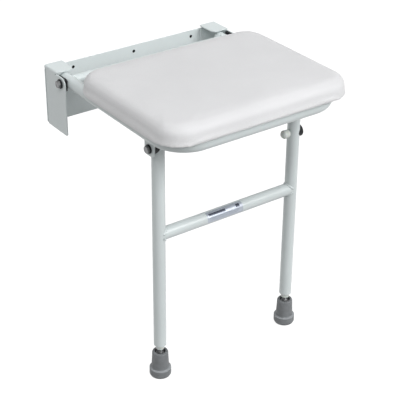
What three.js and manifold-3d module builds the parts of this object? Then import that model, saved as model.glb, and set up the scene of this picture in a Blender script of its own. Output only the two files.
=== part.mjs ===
// Wall-mounted fold-up shower seat with drop-down legs.
//
// Millimetres. X runs across the seat, -Y points out from the wall into the room and +Z is up.
// Heights are named above the floor; the finished group is lowered so that its origin lies in the
// middle of the wall plate's rear face, where the seat meets the wall.

import * as THREE from 'three';
import { mergeVertices } from 'three/addons/utils/BufferGeometryUtils.js';
import Module from 'manifold-3d';

const wasm = await Module();
wasm.setup();

// ---------------------------------------------------------------- driving dimensions

const GAP = 0.3; // left between pieces that touch
const SIDES = [['left', -1], ['right', 1]];

const TUBE_RADIUS = 12.5;
const TUBE_WALL = 1.5;
const BORE_RADIUS = TUBE_RADIUS - TUBE_WALL;

// wall bracket
const BRACKET_HALF_WIDTH = 205;
const BRACKET_BOTTOM = 439.5;
const PLATE_TOP = 557;
const SHEET = 2.5;
const CAP_TOP = 563.5;
const FLANGE_DEPTH = 48.5;
const FLANGE_WIDTH = 39.5;
const FLANGE_INNER_CORNER = 13;
const FOLD_DEPTH = 42.5; // how far out from the wall the folded edge runs
const CAP_BEND = 3.5; // outer radius of the folded edge
const WALL_HOLE_RADIUS = 3.25;
const WALL_HOLE_SPACING = 142;
const WALL_HOLE_DROP = 13; // top row, below the plate's top edge
const LOWER_HOLE_SPACING = 70;
const LOWER_HOLE_RISE = 14; // bottom row, above the plate's bottom edge

// seat pivot
const PIVOT_Y = -62;
const SEAT_AXIS = 545.5; // height of the pivot and of the seat tube's centre line
const CHEEK_REACH = 16.5; // how far the cheek runs past the pivot
const CHEEK_ROUND = 13.5; // radius of its front corner, whose middle is level with the pivot
const BOLT_RADIUS = 4; // M8
const BOLT_HOLE = 4.4;
const HEX_RADIUS = 7.5; // across the corners of a 13 mm hexagon
const HEX_HEIGHT = 5.4;

// seat frame
const SEAT_HALF_SPAN = 185; // side tube centre line
const FRONT_RAIL_Y = -419.5;
const FRAME_CORNER = 58;
const TUBE_REAR_Y = -43;
const CROSS_RAIL_RADIUS = 11;
const CROSS_RAIL_BORE = 9;
const STRAP_WIDTH = 30;
const STRAP_THICKNESS = 3;
const STRAP_CENTRES = [-160, -340];
const STRAP_HALF_SPAN = 176.4;
const SCREW_X = 120;

// pad and its board
const PAD_HALF_WIDTH = 211;
const PAD_REAR_Y = -118;
const PAD_FRONT_Y = -442;
const PAD_THICKNESS = 36.4;
const PAD_FRONT_CORNER = 54;
const PAD_REAR_CORNER = 52;
const PAD_EDGE_ROUND = 17;
const BOARD_INSET = 13;
const BOARD_THICKNESS = 10;

// legs
const LEG_X = 158.5;
const LEG_Y = -326.5;
const LEG_HINGE = 509.5; // height of the leg's hinge bolt
const LEG_TOP = 525.5;
const LEG_BOTTOM = 72.5;
const CROSSBAR_HEIGHT = 323.5;
const LUG_INNER_X = 174.5;
const LUG_THICKNESS = 3;
const LUG_HALF_WIDTH = 15;
const LUG_BOTTOM = 495.5;
const SADDLE_RADIUS = 12;

// pull knob on the right leg
const PLUNGER_HEIGHT = 449;
const KNOB_RADIUS = 9;
const KNOB_LENGTH = 15.9;
const PIN_STICK_OUT = 4;
const SPRING_TURNS = 4;

// adjustable feet
const FERRULE_HEIGHT = 56;
const FERRULE_BORE = 10.7;
const STEM_RADIUS = 5; // M10
const STEM_TOP = 111.5;
const LOCKNUT_RADIUS = 9.8; // across the corners of a 17 mm hexagon
const LOCKNUT_HEIGHT = 7;

// ---------------------------------------------------------------- colours

const PAINT = { color: 0xd9e3e0, roughness: 0.35, metalness: 0 };
const PAD_SKIN = { color: 0xe6e5e8, roughness: 0.5, metalness: 0 };
const BOARD_GREY = { color: 0x8f9294, roughness: 0.8, metalness: 0 };
const BLACK_NYLON = { color: 0x14161a, roughness: 0.45, metalness: 0 };
const WHITE_PLASTIC = { color: 0xdfe4e0, roughness: 0.4, metalness: 0 };
const ZINC = { color: 0xb9bcbe, roughness: 0.3, metalness: 0.9 };
const GREY_RUBBER = { color: 0x77797c, roughness: 0.7, metalness: 0 };
const LABEL_FOIL = { color: 0xb4bbc4, roughness: 0.35, metalness: 0.4 };

// ---------------------------------------------------------------- solids

// A closed geometry becomes a solid once its shared vertices are merged.
function solidFrom(geometry) {
  const bare = geometry.clone();
  bare.deleteAttribute('normal');
  bare.deleteAttribute('uv');
  const merged = mergeVertices(bare, 1e-4);
  const corners = merged.index.array;
  const triangles = [];
  for (let i = 0; i < corners.length; i += 3) {
    const [a, b, c] = [corners[i], corners[i + 1], corners[i + 2]];
    if (a !== b && b !== c && c !== a) triangles.push(a, b, c);
  }
  return new wasm.Manifold(new wasm.Mesh({
    numProp: 3,
    vertProperties: new Float32Array(merged.attributes.position.array),
    triVerts: new Uint32Array(triangles),
  }));
}

function geometryFrom(solid) {
  const mesh = solid.getMesh();
  const geometry = new THREE.BufferGeometry();
  geometry.setAttribute('position', new THREE.BufferAttribute(mesh.vertProperties, 3));
  geometry.setIndex(new THREE.BufferAttribute(mesh.triVerts, 1));
  geometry.computeVertexNormals();
  return geometry;
}

function join(...solids) {
  return solids.reduce((whole, piece) => whole.add(piece));
}

function cut(solid, ...tools) {
  return tools.reduce((rest, tool) => rest.subtract(tool), solid);
}

// A box between two opposite corners.
function block(low, high) {
  const size = high.map((value, i) => value - low[i]);
  const centre = high.map((value, i) => (value + low[i]) / 2);
  return solidFrom(new THREE.BoxGeometry(...size).translate(...centre));
}

// A round or hexagonal bar along X between two X positions.
function barX(radius, fromX, toX, y, z, sides = 20) {
  const geometry = new THREE.CylinderGeometry(radius, radius, Math.abs(toX - fromX), sides);
  geometry.rotateZ(Math.PI / 2);
  return solidFrom(geometry.translate((fromX + toX) / 2, y, z));
}

function barY(radius, x, fromY, toY, z, sides = 20) {
  const geometry = new THREE.CylinderGeometry(radius, radius, Math.abs(toY - fromY), sides);
  return solidFrom(geometry.translate(x, (fromY + toY) / 2, z));
}

function barZ(radius, x, y, fromZ, toZ, sides = 20) {
  const geometry = new THREE.CylinderGeometry(radius, radius, Math.abs(toZ - fromZ), sides);
  geometry.rotateX(Math.PI / 2);
  return solidFrom(geometry.translate(x, y, (fromZ + toZ) / 2));
}

// Outlines drawn in (y, z) and given a thickness along X.
function plateYZ(shape, fromX, toX, curveSegments = 8) {
  const geometry = new THREE.ExtrudeGeometry(shape, {
    depth: Math.abs(toX - fromX), bevelEnabled: false, curveSegments,
  });
  const axes = new THREE.Matrix4().makeBasis(
    new THREE.Vector3(0, 1, 0), new THREE.Vector3(0, 0, 1), new THREE.Vector3(1, 0, 0));
  geometry.applyMatrix4(axes).translate(Math.min(fromX, toX), 0, 0);
  return solidFrom(geometry);
}

// Outlines drawn in (x, z) and given a thickness along Y.
function plateXZ(shape, fromY, toY, curveSegments = 8) {
  const geometry = new THREE.ExtrudeGeometry(shape, {
    depth: Math.abs(toY - fromY), bevelEnabled: false, curveSegments,
  });
  const axes = new THREE.Matrix4().makeBasis(
    new THREE.Vector3(1, 0, 0), new THREE.Vector3(0, 0, 1), new THREE.Vector3(0, -1, 0));
  geometry.applyMatrix4(axes).translate(0, Math.max(fromY, toY), 0);
  return solidFrom(geometry);
}

function roundedRectangle(left, bottom, right, top, lowRadius, highRadius = lowRadius) {
  const shape = new THREE.Shape();
  shape.moveTo(left + lowRadius, bottom);
  shape.lineTo(right - lowRadius, bottom);
  shape.absarc(right - lowRadius, bottom + lowRadius, lowRadius, -Math.PI / 2, 0, false);
  shape.lineTo(right, top - highRadius);
  shape.absarc(right - highRadius, top - highRadius, highRadius, 0, Math.PI / 2, false);
  shape.lineTo(left + highRadius, top);
  shape.absarc(left + highRadius, top - highRadius, highRadius, Math.PI / 2, Math.PI, false);
  shape.lineTo(left, bottom + lowRadius);
  shape.absarc(left + lowRadius, bottom + lowRadius, lowRadius, Math.PI, Math.PI * 1.5, false);
  return shape;
}

// A turned piece from its [radius, height] profile, which starts and ends on the axis or closes on
// itself. It stands along +Z before it is placed.
function turned(profile, sides = 20) {
  const points = profile.map(([radius, height]) => new THREE.Vector2(radius, height));
  return new THREE.LatheGeometry(points, sides).rotateX(Math.PI / 2);
}

// A turned piece laid along X; heights in the profile run away from the middle of the seat when
// side is 1 or -1 with the piece on that side.
function turnedX(profile, side, x, y, z, sides = 20) {
  return solidFrom(turned(profile, sides).rotateY(side * Math.PI / 2).translate(x, y, z));
}

// The stations of a bent tube: straight runs need only their ends, and bends a few steps.
class StationPath extends THREE.Curve {
  constructor(stations) {
    super();
    this.stations = stations;
  }

  getPointAt(u) {
    return this.stations[Math.round(u * (this.stations.length - 1))].point.clone();
  }

  getTangentAt(u) {
    return this.stations[Math.round(u * (this.stations.length - 1))].tangent.clone();
  }

  getPoint(t) {
    return this.getPointAt(t);
  }
}

// ---------------------------------------------------------------- the group

const seat = new THREE.Group();

function addPiece(name, solid, look) {
  const mesh = new THREE.Mesh(geometryFrom(solid), new THREE.MeshStandardMaterial(look));
  mesh.name = name;
  seat.add(mesh);
}

// ---------------------------------------------------------------- wall bracket

function wallPlate() {
  const outline = roundedRectangle(
    -BRACKET_HALF_WIDTH, BRACKET_BOTTOM, BRACKET_HALF_WIDTH, PLATE_TOP, 4);
  const topRow = PLATE_TOP - WALL_HOLE_DROP;
  const bottomRow = BRACKET_BOTTOM + LOWER_HOLE_RISE;
  const holes = [
    ...[-WALL_HOLE_SPACING, 0, WALL_HOLE_SPACING].map((x) => [x, topRow]),
    ...[-LOWER_HOLE_SPACING, LOWER_HOLE_SPACING].map((x) => [x, bottomRow]),
  ];
  const drills = holes.map(([x, z]) => barY(WALL_HOLE_RADIUS, x, -2 * SHEET, SHEET, z, 16));
  return cut(plateXZ(outline, -SHEET, 0), ...drills);
}

// The top flange seen from above, with both its front corners rounded.
function flangePlan(side) {
  const outer = side * (BRACKET_HALF_WIDTH + 1);
  const flangeEnd = side * (BRACKET_HALF_WIDTH - FLANGE_WIDTH);
  const foldCorner = FLANGE_DEPTH - FOLD_DEPTH;
  const foldX = side * (BRACKET_HALF_WIDTH - foldCorner);
  const innerX = flangeEnd + side * FLANGE_INNER_CORNER;
  const [cheekAngle, middleAngle] = side > 0 ? [0, -Math.PI] : [Math.PI, 0];
  const innerY = -FLANGE_DEPTH + FLANGE_INNER_CORNER;
  const plan = new THREE.Shape();
  plan.moveTo(outer, 1);
  plan.lineTo(outer, -FOLD_DEPTH);
  plan.lineTo(side * BRACKET_HALF_WIDTH, -FOLD_DEPTH);
  plan.absarc(foldX, -FOLD_DEPTH, foldCorner, cheekAngle, -Math.PI / 2, side > 0);
  plan.lineTo(innerX, -FLANGE_DEPTH);
  plan.absarc(innerX, innerY, FLANGE_INNER_CORNER, -Math.PI / 2, middleAngle, side > 0);
  plan.lineTo(flangeEnd, 1);
  return flatSolid(plan, BRACKET_BOTTOM, CAP_TOP - BRACKET_BOTTOM + 1);
}

// One end cap is folded from a single sheet: a cheek beside the seat, a flange over the top and a
// flange that lies on the wall plate.
function endCap(side) {
  const rearY = -SHEET - GAP;
  const hookBottom = PLATE_TOP + GAP;
  const innerX = BRACKET_HALF_WIDTH - SHEET;
  const bendBottom = CAP_TOP - CAP_BEND - 0.5;
  const cheekFront = PIVOT_Y - CHEEK_REACH;
  const cheekTop = SEAT_AXIS + CHEEK_ROUND;

  const cheek = new THREE.Shape();
  cheek.moveTo(rearY, BRACKET_BOTTOM);
  cheek.lineTo(rearY, hookBottom);
  cheek.lineTo(0, hookBottom);
  cheek.lineTo(0, bendBottom);
  cheek.lineTo(-FOLD_DEPTH, bendBottom);
  cheek.lineTo(-FOLD_DEPTH, cheekTop);
  cheek.lineTo(cheekFront + CHEEK_ROUND, cheekTop);
  cheek.absarc(cheekFront + CHEEK_ROUND, SEAT_AXIS, CHEEK_ROUND, Math.PI / 2, Math.PI, false);
  cheek.lineTo(cheekFront, BRACKET_BOTTOM + 3);
  cheek.lineTo(cheekFront + 3, BRACKET_BOTTOM);

  const outer = side * BRACKET_HALF_WIDTH;
  const inner = side * innerX;
  const bendCentre = side * (BRACKET_HALF_WIDTH - CAP_BEND);
  const bendZ = CAP_TOP - CAP_BEND;
  const toOuter = side > 0 ? 0 : Math.PI;
  const flangeEnd = side * (BRACKET_HALF_WIDTH - FLANGE_WIDTH);
  const fold = new THREE.Shape();
  fold.moveTo(outer, bendBottom - 2);
  fold.lineTo(outer, bendZ);
  fold.absarc(bendCentre, bendZ, CAP_BEND, toOuter, Math.PI / 2, side < 0);
  fold.lineTo(flangeEnd, CAP_TOP);
  fold.lineTo(flangeEnd, CAP_TOP - SHEET);
  fold.lineTo(bendCentre, CAP_TOP - SHEET);
  fold.absarc(bendCentre, bendZ, CAP_BEND - SHEET, Math.PI / 2, toOuter, side > 0);
  fold.lineTo(inner, bendBottom - 2);

  const rearFlange = block(
    [Math.min(flangeEnd, outer), rearY - SHEET, BRACKET_BOTTOM],
    [Math.max(flangeEnd, outer), rearY, hookBottom]);
  const topFlange = plateXZ(fold, -FLANGE_DEPTH, 0, 5).intersect(flangePlan(side));
  const whole = join(plateYZ(cheek, inner, outer), topFlange, rearFlange);
  return cut(whole, barX(BOLT_HOLE, inner - side * 5, outer + side * 5, PIVOT_Y, SEAT_AXIS, 16));
}

// Nylon block that keeps the seat tube off the cheek.
function pivotSpacer(side) {
  const halfLength = 15;
  const fromX = side * (SEAT_HALF_SPAN + TUBE_RADIUS + GAP);
  const toX = side * (BRACKET_HALF_WIDTH - SHEET - GAP);
  const outline = roundedRectangle(
    PIVOT_Y - halfLength, SEAT_AXIS - TUBE_RADIUS, PIVOT_Y + halfLength, SEAT_AXIS + TUBE_RADIUS, 3);
  const bore = barX(BOLT_HOLE, fromX - side * 5, toX + side * 5, PIVOT_Y, SEAT_AXIS, 16);
  return cut(plateYZ(outline, fromX, toX, 3), bore);
}

function washer(radius, thickness, side, innerX, y, z) {
  const fromX = side * innerX;
  const toX = side * (innerX + thickness);
  const ring = barX(radius, fromX, toX, y, z, 24);
  return cut(ring, barX(BOLT_HOLE, fromX - side, toX + side, y, z, 16));
}

// A hexagon-head bolt lying along X with its head on the outer side.
function bolt(side, headX, tipX, y, z) {
  const head = barX(HEX_RADIUS, side * headX, side * (headX + HEX_HEIGHT), y, z, 6);
  const shank = barX(BOLT_RADIUS, side * tipX, side * (headX + 1), y, z, 16);
  return join(head, shank);
}

const PIVOT_WASHER_THICKNESS = 2;
const PIVOT_WASHER_X = BRACKET_HALF_WIDTH + GAP;
const PIVOT_HEAD_X = PIVOT_WASHER_X + PIVOT_WASHER_THICKNESS + GAP;
const PIVOT_BOLT_TIP = 152;

addPiece('wall_plate', wallPlate(), PAINT);
for (const [name, side] of SIDES) {
  addPiece(`${name}_end_cap`, endCap(side), PAINT);
  addPiece(`${name}_pivot_spacer`, pivotSpacer(side), BLACK_NYLON);
  addPiece(`${name}_pivot_washer`,
    washer(9.5, PIVOT_WASHER_THICKNESS, side, PIVOT_WASHER_X, PIVOT_Y, SEAT_AXIS), BLACK_NYLON);
}

// ---------------------------------------------------------------- seat frame

function seatTubeStations() {
  const stations = [];
  const addStation = (x, y, tangentX, tangentY) => stations.push({
    point: new THREE.Vector3(x, y, SEAT_AXIS),
    tangent: new THREE.Vector3(tangentX, tangentY, 0),
  });
  const bendSteps = 7;
  const bendY = FRONT_RAIL_Y + FRAME_CORNER;
  const bendX = SEAT_HALF_SPAN - FRAME_CORNER;
  addStation(-SEAT_HALF_SPAN, TUBE_REAR_Y, 0, -1);
  for (const side of [-1, 1]) {
    const start = side < 0 ? Math.PI : Math.PI * 1.5;
    for (let step = 0; step <= bendSteps; step += 1) {
      const angle = start + (step / bendSteps) * Math.PI / 2;
      const [c, s] = [Math.cos(angle), Math.sin(angle)];
      addStation(side * bendX + FRAME_CORNER * c, bendY + FRAME_CORNER * s, -s, c);
    }
  }
  addStation(SEAT_HALF_SPAN, TUBE_REAR_Y, 0, 1);
  return stations;
}

function tubeSection(outerRadius, innerRadius, sides) {
  const ring = (radius) => Array.from({ length: sides }, (_, i) => {
    const angle = (i / sides) * Math.PI * 2;
    return new THREE.Vector2(radius * Math.cos(angle), radius * Math.sin(angle));
  });
  const section = new THREE.Shape(ring(outerRadius));
  section.holes.push(new THREE.Path(ring(innerRadius)));
  return section;
}

function seatTube() {
  const stations = seatTubeStations();
  const geometry = new THREE.ExtrudeGeometry(tubeSection(TUBE_RADIUS, BORE_RADIUS, 20), {
    steps: stations.length - 1, extrudePath: new StationPath(stations), bevelEnabled: false,
  });
  const drills = SIDES.map(([, side]) => barX(BOLT_HOLE,
    side * (SEAT_HALF_SPAN - 20), side * (SEAT_HALF_SPAN + 20), PIVOT_Y, SEAT_AXIS, 16));
  return cut(solidFrom(geometry), ...drills);
}

// The rear cross rail runs along the pivot line, and its ends fit the round side tubes.
function crossRail() {
  const reach = SEAT_HALF_SPAN - 4;
  const rail = barX(CROSS_RAIL_RADIUS, -reach, reach, PIVOT_Y, SEAT_AXIS);
  const bore = barX(CROSS_RAIL_BORE, -reach - 1, reach + 1, PIVOT_Y, SEAT_AXIS);
  const copes = SIDES.map(([, side]) => barY(
    TUBE_RADIUS + GAP, side * SEAT_HALF_SPAN, PIVOT_Y - 30, PIVOT_Y + 30, SEAT_AXIS, 32));
  return cut(rail, bore, ...copes);
}

// Threaded plug in the rail's end, which the pivot bolt screws into.
function railInsert(side) {
  const fromX = side * (PIVOT_BOLT_TIP - 2);
  const toX = side * (SEAT_HALF_SPAN - TUBE_RADIUS - 1.5);
  const plug = barX(CROSS_RAIL_BORE - GAP, fromX, toX, PIVOT_Y, SEAT_AXIS);
  return cut(plug, barX(BOLT_RADIUS + GAP, fromX - side, toX + side, PIVOT_Y, SEAT_AXIS, 16));
}

// Domed plug that closes the rear end of a side tube.
function tubeEndPlug(side) {
  const stemRadius = BORE_RADIUS - GAP;
  const profile = [
    [0, -10], [stemRadius, -10], [stemRadius, GAP], [TUBE_RADIUS - 0.2, GAP],
    [TUBE_RADIUS - 0.5, 1.6], [9.5, 3.2], [0, 4],
  ];
  const geometry = turned(profile).rotateX(-Math.PI / 2);
  return solidFrom(geometry.translate(side * SEAT_HALF_SPAN, TUBE_REAR_Y, SEAT_AXIS));
}

// Plate that hangs from the side tube and carries the leg.
function legLug(side) {
  const tubeDrop = Math.sqrt(TUBE_RADIUS ** 2 - (LUG_INNER_X + LUG_THICKNESS - SEAT_HALF_SPAN) ** 2);
  const top = SEAT_AXIS - tubeDrop - GAP;
  const outline = roundedRectangle(
    LEG_Y - LUG_HALF_WIDTH, LUG_BOTTOM, LEG_Y + LUG_HALF_WIDTH, top, 8, 0.5);
  const fromX = side * LUG_INNER_X;
  const toX = side * (LUG_INNER_X + LUG_THICKNESS);
  const hole = barX(BOLT_HOLE, fromX - side * 5, toX + side * 5, LEG_Y, LEG_HINGE, 16);
  return cut(plateYZ(outline, fromX, toX, 5), hole);
}

// Flat bar under the board, with a screw hole near each end.
function padStrap(centreY) {
  const top = SEAT_AXIS + TUBE_RADIUS;
  const bar = block(
    [-STRAP_HALF_SPAN, centreY - STRAP_WIDTH / 2, top - STRAP_THICKNESS],
    [STRAP_HALF_SPAN, centreY + STRAP_WIDTH / 2, top]);
  const holes = SIDES.map(([, side]) => barZ(3.4, side * SCREW_X, centreY, top - 10, top + 10, 16));
  return cut(bar, ...holes);
}

const BOARD_BOTTOM = SEAT_AXIS + TUBE_RADIUS + GAP;
const SCREW_TOP = BOARD_BOTTOM + BOARD_THICKNESS - 2;

function screwPlaces() {
  return STRAP_CENTRES.flatMap((y) => SIDES.map(([, side]) => [side * SCREW_X, y]));
}

function boardOutline(inset) {
  return roundedRectangle(
    -PAD_HALF_WIDTH + inset, PAD_FRONT_Y + inset, PAD_HALF_WIDTH - inset, PAD_REAR_Y - inset,
    PAD_FRONT_CORNER - inset, PAD_REAR_CORNER - inset);
}

function flatSolid(shape, bottom, thickness) {
  const geometry = new THREE.ExtrudeGeometry(shape, {
    depth: thickness, bevelEnabled: false, curveSegments: 7,
  });
  return solidFrom(geometry.translate(0, 0, bottom));
}

function seatBoard() {
  const board = flatSolid(boardOutline(BOARD_INSET), BOARD_BOTTOM, BOARD_THICKNESS);
  const pilots = screwPlaces().map(([x, y]) => barZ(
    3.3, x, y, BOARD_BOTTOM - 5, SCREW_TOP + GAP, 16));
  return cut(board, ...pilots);
}

// The moulded pad wraps the board's edge and leaves its underside open.
function seatPad() {
  const body = new THREE.ExtrudeGeometry(boardOutline(PAD_EDGE_ROUND), {
    depth: PAD_THICKNESS - PAD_EDGE_ROUND, bevelEnabled: true, bevelThickness: PAD_EDGE_ROUND,
    bevelSize: PAD_EDGE_ROUND, bevelSegments: 4, curveSegments: 7,
  });
  const pad = solidFrom(body.translate(0, 0, BOARD_BOTTOM));
  const below = block(
    [-2 * PAD_HALF_WIDTH, 2 * PAD_FRONT_Y, BOARD_BOTTOM - 2 * PAD_EDGE_ROUND],
    [2 * PAD_HALF_WIDTH, 0, BOARD_BOTTOM]);
  const pocket = flatSolid(
    boardOutline(BOARD_INSET - GAP), BOARD_BOTTOM - 1, BOARD_THICKNESS + 1 + GAP);
  return cut(pad, below, pocket);
}

function padScrew(x, y) {
  const seatHeight = SEAT_AXIS + TUBE_RADIUS - STRAP_THICKNESS - GAP;
  const head = barZ(6, x, y, seatHeight - 3, seatHeight, 16);
  return join(head, barZ(3, x, y, seatHeight - 1, SCREW_TOP, 12));
}

addPiece('seat_tube', seatTube(), PAINT);
addPiece('rear_cross_rail', crossRail(), PAINT);
for (const [name, side] of SIDES) {
  addPiece(`${name}_rail_insert`, railInsert(side), ZINC);
  addPiece(`${name}_pivot_bolt`, bolt(side, PIVOT_HEAD_X, PIVOT_BOLT_TIP, PIVOT_Y, SEAT_AXIS), ZINC);
  addPiece(`${name}_tube_end_plug`, tubeEndPlug(side), WHITE_PLASTIC);
  addPiece(`${name}_leg_lug`, legLug(side), PAINT);
}
addPiece('rear_pad_strap', padStrap(STRAP_CENTRES[0]), PAINT);
addPiece('front_pad_strap', padStrap(STRAP_CENTRES[1]), PAINT);
addPiece('seat_board', seatBoard(), BOARD_GREY);
addPiece('seat_pad', seatPad(), PAD_SKIN);
screwPlaces().forEach(([x, y], i) => addPiece(`pad_screw_${i + 1}`, padScrew(x, y), ZINC));

// ---------------------------------------------------------------- leg frame

const LEG_OUTER_X = LEG_X + TUBE_RADIUS;
const LEG_INNER_X = LEG_X - TUBE_RADIUS;

function legTube(side) {
  const outer = barZ(TUBE_RADIUS, side * LEG_X, LEG_Y, LEG_BOTTOM, LEG_TOP, 24);
  const bore = barZ(BORE_RADIUS, side * LEG_X, LEG_Y, LEG_BOTTOM - 1, LEG_TOP + 1, 24);
  const ends = [side * (LEG_INNER_X - 5), side * (LEG_OUTER_X + 5)];
  const tools = [bore, barX(BOLT_HOLE, ...ends, LEG_Y, LEG_HINGE, 16)];
  if (side > 0) {
    tools.push(barX(BOLT_HOLE, LEG_INNER_X - 5, LEG_X, LEG_Y, PLUNGER_HEIGHT, 16));
    tools.push(barX(6, LEG_X, LEG_OUTER_X + 5, LEG_Y, PLUNGER_HEIGHT, 16));
  }
  return cut(outer, ...tools);
}

function crossbar() {
  const bar = barX(TUBE_RADIUS, -LEG_X, LEG_X, LEG_Y, CROSSBAR_HEIGHT, 24);
  const bore = barX(BORE_RADIUS, -LEG_X - 1, LEG_X + 1, LEG_Y, CROSSBAR_HEIGHT, 24);
  const copes = SIDES.map(([, side]) => barZ(TUBE_RADIUS + GAP,
    side * LEG_X, LEG_Y, CROSSBAR_HEIGHT - 30, CROSSBAR_HEIGHT + 30, 32));
  return cut(bar, bore, ...copes);
}

// Blank foil label wrapped over the front and top of the crossbar.
function crossbarLabel() {
  const [fromX, toX] = [-54, 30];
  const [fromAngle, toAngle] = [Math.PI * 0.52, Math.PI * 1.12];
  const innerRadius = TUBE_RADIUS + GAP;
  const outline = new THREE.Shape();
  outline.absarc(LEG_Y, CROSSBAR_HEIGHT, innerRadius, fromAngle, toAngle, false);
  outline.absarc(LEG_Y, CROSSBAR_HEIGHT, innerRadius + 0.25, toAngle, fromAngle, true);
  return plateYZ(outline, fromX, toX, 10);
}

// Round nylon bush with one end hollowed to sit on a leg tube.
function saddleBush(side, z) {
  const bush = barX(SADDLE_RADIUS, side * LEG_X, side * (LUG_INNER_X - GAP), LEG_Y, z, 24);
  const seatCut = barZ(TUBE_RADIUS + GAP, side * LEG_X, LEG_Y, z - 20, z + 20, 32);
  return cut(bush, seatCut, barX(BOLT_HOLE, side * LEG_X, side * (LUG_INNER_X + 5), LEG_Y, z, 16));
}

function legTopPlug(side) {
  const stemRadius = BORE_RADIUS - GAP;
  const profile = [
    [0, -10], [stemRadius, -10], [stemRadius, GAP], [TUBE_RADIUS - 0.2, GAP],
    [TUBE_RADIUS - 0.6, 2.2], [TUBE_RADIUS - 2.5, 2.8], [0, 2.8],
  ];
  return solidFrom(turned(profile).translate(side * LEG_X, LEG_Y, LEG_TOP));
}

// Threaded insert in the bottom of a leg, with a shoulder and a narrower collar below the tube.
function legEndInsert(side) {
  const bore = STEM_RADIUS + GAP;
  const profile = [
    [bore, -10], [8, -10], [8.6, -9.2], [8.6, -4], [10.6, -2.6], [11.8, -GAP], [BORE_RADIUS - GAP, -GAP],
    [BORE_RADIUS - GAP, 26], [bore, 26], [bore, -10],
  ];
  return solidFrom(turned(profile).translate(side * LEG_X, LEG_Y, LEG_BOTTOM));
}

const LUG_OUTER_X = LUG_INNER_X + LUG_THICKNESS;
const HINGE_WASHER_X = LUG_OUTER_X + GAP;
const HINGE_WASHER_THICKNESS = 1.6;
const HINGE_HEAD_X = HINGE_WASHER_X + HINGE_WASHER_THICKNESS + GAP;
const NUT_HEIGHT = 6.5;
const NUT_OUTER_X = LEG_INNER_X - GAP;
const HINGE_BOLT_TIP = NUT_OUTER_X - NUT_HEIGHT - 3;

function hingeNut(side) {
  const ends = [side * (NUT_OUTER_X - NUT_HEIGHT), side * NUT_OUTER_X];
  const nut = barX(HEX_RADIUS, ...ends, LEG_Y, LEG_HINGE, 6);
  return cut(nut, barX(BOLT_RADIUS + GAP, ends[0] - side, ends[1] + side, LEG_Y, LEG_HINGE, 16));
}

addPiece('crossbar', crossbar(), PAINT);
addPiece('crossbar_label', crossbarLabel(), LABEL_FOIL);
for (const [name, side] of SIDES) {
  addPiece(`${name}_leg_tube`, legTube(side), PAINT);
  addPiece(`${name}_leg_saddle`, saddleBush(side, LEG_HINGE), BLACK_NYLON);
  addPiece(`${name}_leg_top_plug`, legTopPlug(side), BLACK_NYLON);
  addPiece(`${name}_leg_end_insert`, legEndInsert(side), WHITE_PLASTIC);
  addPiece(`${name}_hinge_washer`,
    washer(9, HINGE_WASHER_THICKNESS, side, HINGE_WASHER_X, LEG_Y, LEG_HINGE), BLACK_NYLON);
  addPiece(`${name}_hinge_bolt`,
    bolt(side, HINGE_HEAD_X, HINGE_BOLT_TIP, LEG_Y, LEG_HINGE), ZINC);
  addPiece(`${name}_hinge_nut`, hingeNut(side), ZINC);
}

// ---------------------------------------------------------------- pull knob

const BARREL_END_X = 165;
const COLLAR_THICKNESS = 2;
const COLLAR_X = BARREL_END_X - GAP - COLLAR_THICKNESS;
const SPRING_REST_X = LEG_INNER_X + TUBE_WALL + 2.3; // clear of the round wall
const KNOB_INNER_X = LEG_INNER_X - 0.6;
const KNOB_OUTER_X = KNOB_INNER_X - KNOB_LENGTH;
const PIN_TIP_X = LUG_INNER_X - GAP + PIN_STICK_OUT;
const PIN_TAIL_X = KNOB_OUTER_X + 5;

// The bush's barrel guides the pin through the leg's outer wall.
function plungerBush() {
  const barrel = barX(5.7, BARREL_END_X, LUG_INNER_X - 2, LEG_Y, PLUNGER_HEIGHT, 16);
  const bore = barX(BOLT_HOLE, BARREL_END_X - 1, LUG_INNER_X + 1, LEG_Y, PLUNGER_HEIGHT, 16);
  return cut(join(saddleBush(1, PLUNGER_HEIGHT), barrel), bore);
}

function plungerPin() {
  const rod = barX(BOLT_RADIUS, PIN_TAIL_X, PIN_TIP_X, LEG_Y, PLUNGER_HEIGHT, 16);
  const collar = barX(
    6.3, COLLAR_X, COLLAR_X + COLLAR_THICKNESS, LEG_Y, PLUNGER_HEIGHT, 16);
  return join(rod, collar);
}

function plungerKnob() {
  const boreRadius = BOLT_RADIUS + GAP;
  const boreDepth = KNOB_INNER_X - PIN_TAIL_X + GAP;
  const profile = [
    [0, KNOB_LENGTH], [KNOB_RADIUS - 2, KNOB_LENGTH], [KNOB_RADIUS - 0.5, KNOB_LENGTH - 1],
    [KNOB_RADIUS, KNOB_LENGTH - 3], [KNOB_RADIUS, KNOB_LENGTH - 8], [KNOB_RADIUS - 1, 0],
    [boreRadius, 0], [boreRadius, boreDepth], [0, boreDepth],
  ];
  return turnedX([...profile].reverse(), -1, KNOB_INNER_X, LEG_Y, PLUNGER_HEIGHT, 24);
}

class CoilPath extends THREE.Curve {
  constructor(radius, length, turns) {
    super();
    Object.assign(this, { radius, length, turns });
  }

  getPoint(t) {
    const angle = t * this.turns * Math.PI * 2;
    return new THREE.Vector3(
      t * this.length, this.radius * Math.cos(angle), this.radius * Math.sin(angle));
  }
}

function plungerSpring() {
  const wire = 0.6;
  const length = COLLAR_X - GAP - wire - (SPRING_REST_X + wire);
  const geometry = new THREE.ExtrudeGeometry(new THREE.Shape(
    Array.from({ length: 5 }, (_, i) => new THREE.Vector2(
      wire * Math.cos(i * Math.PI * 0.4), wire * Math.sin(i * Math.PI * 0.4)))), {
    steps: SPRING_TURNS * 12, bevelEnabled: false,
    extrudePath: new CoilPath(5.3, length, SPRING_TURNS),
  });
  return solidFrom(geometry.translate(SPRING_REST_X + wire, LEG_Y, PLUNGER_HEIGHT));
}

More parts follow.
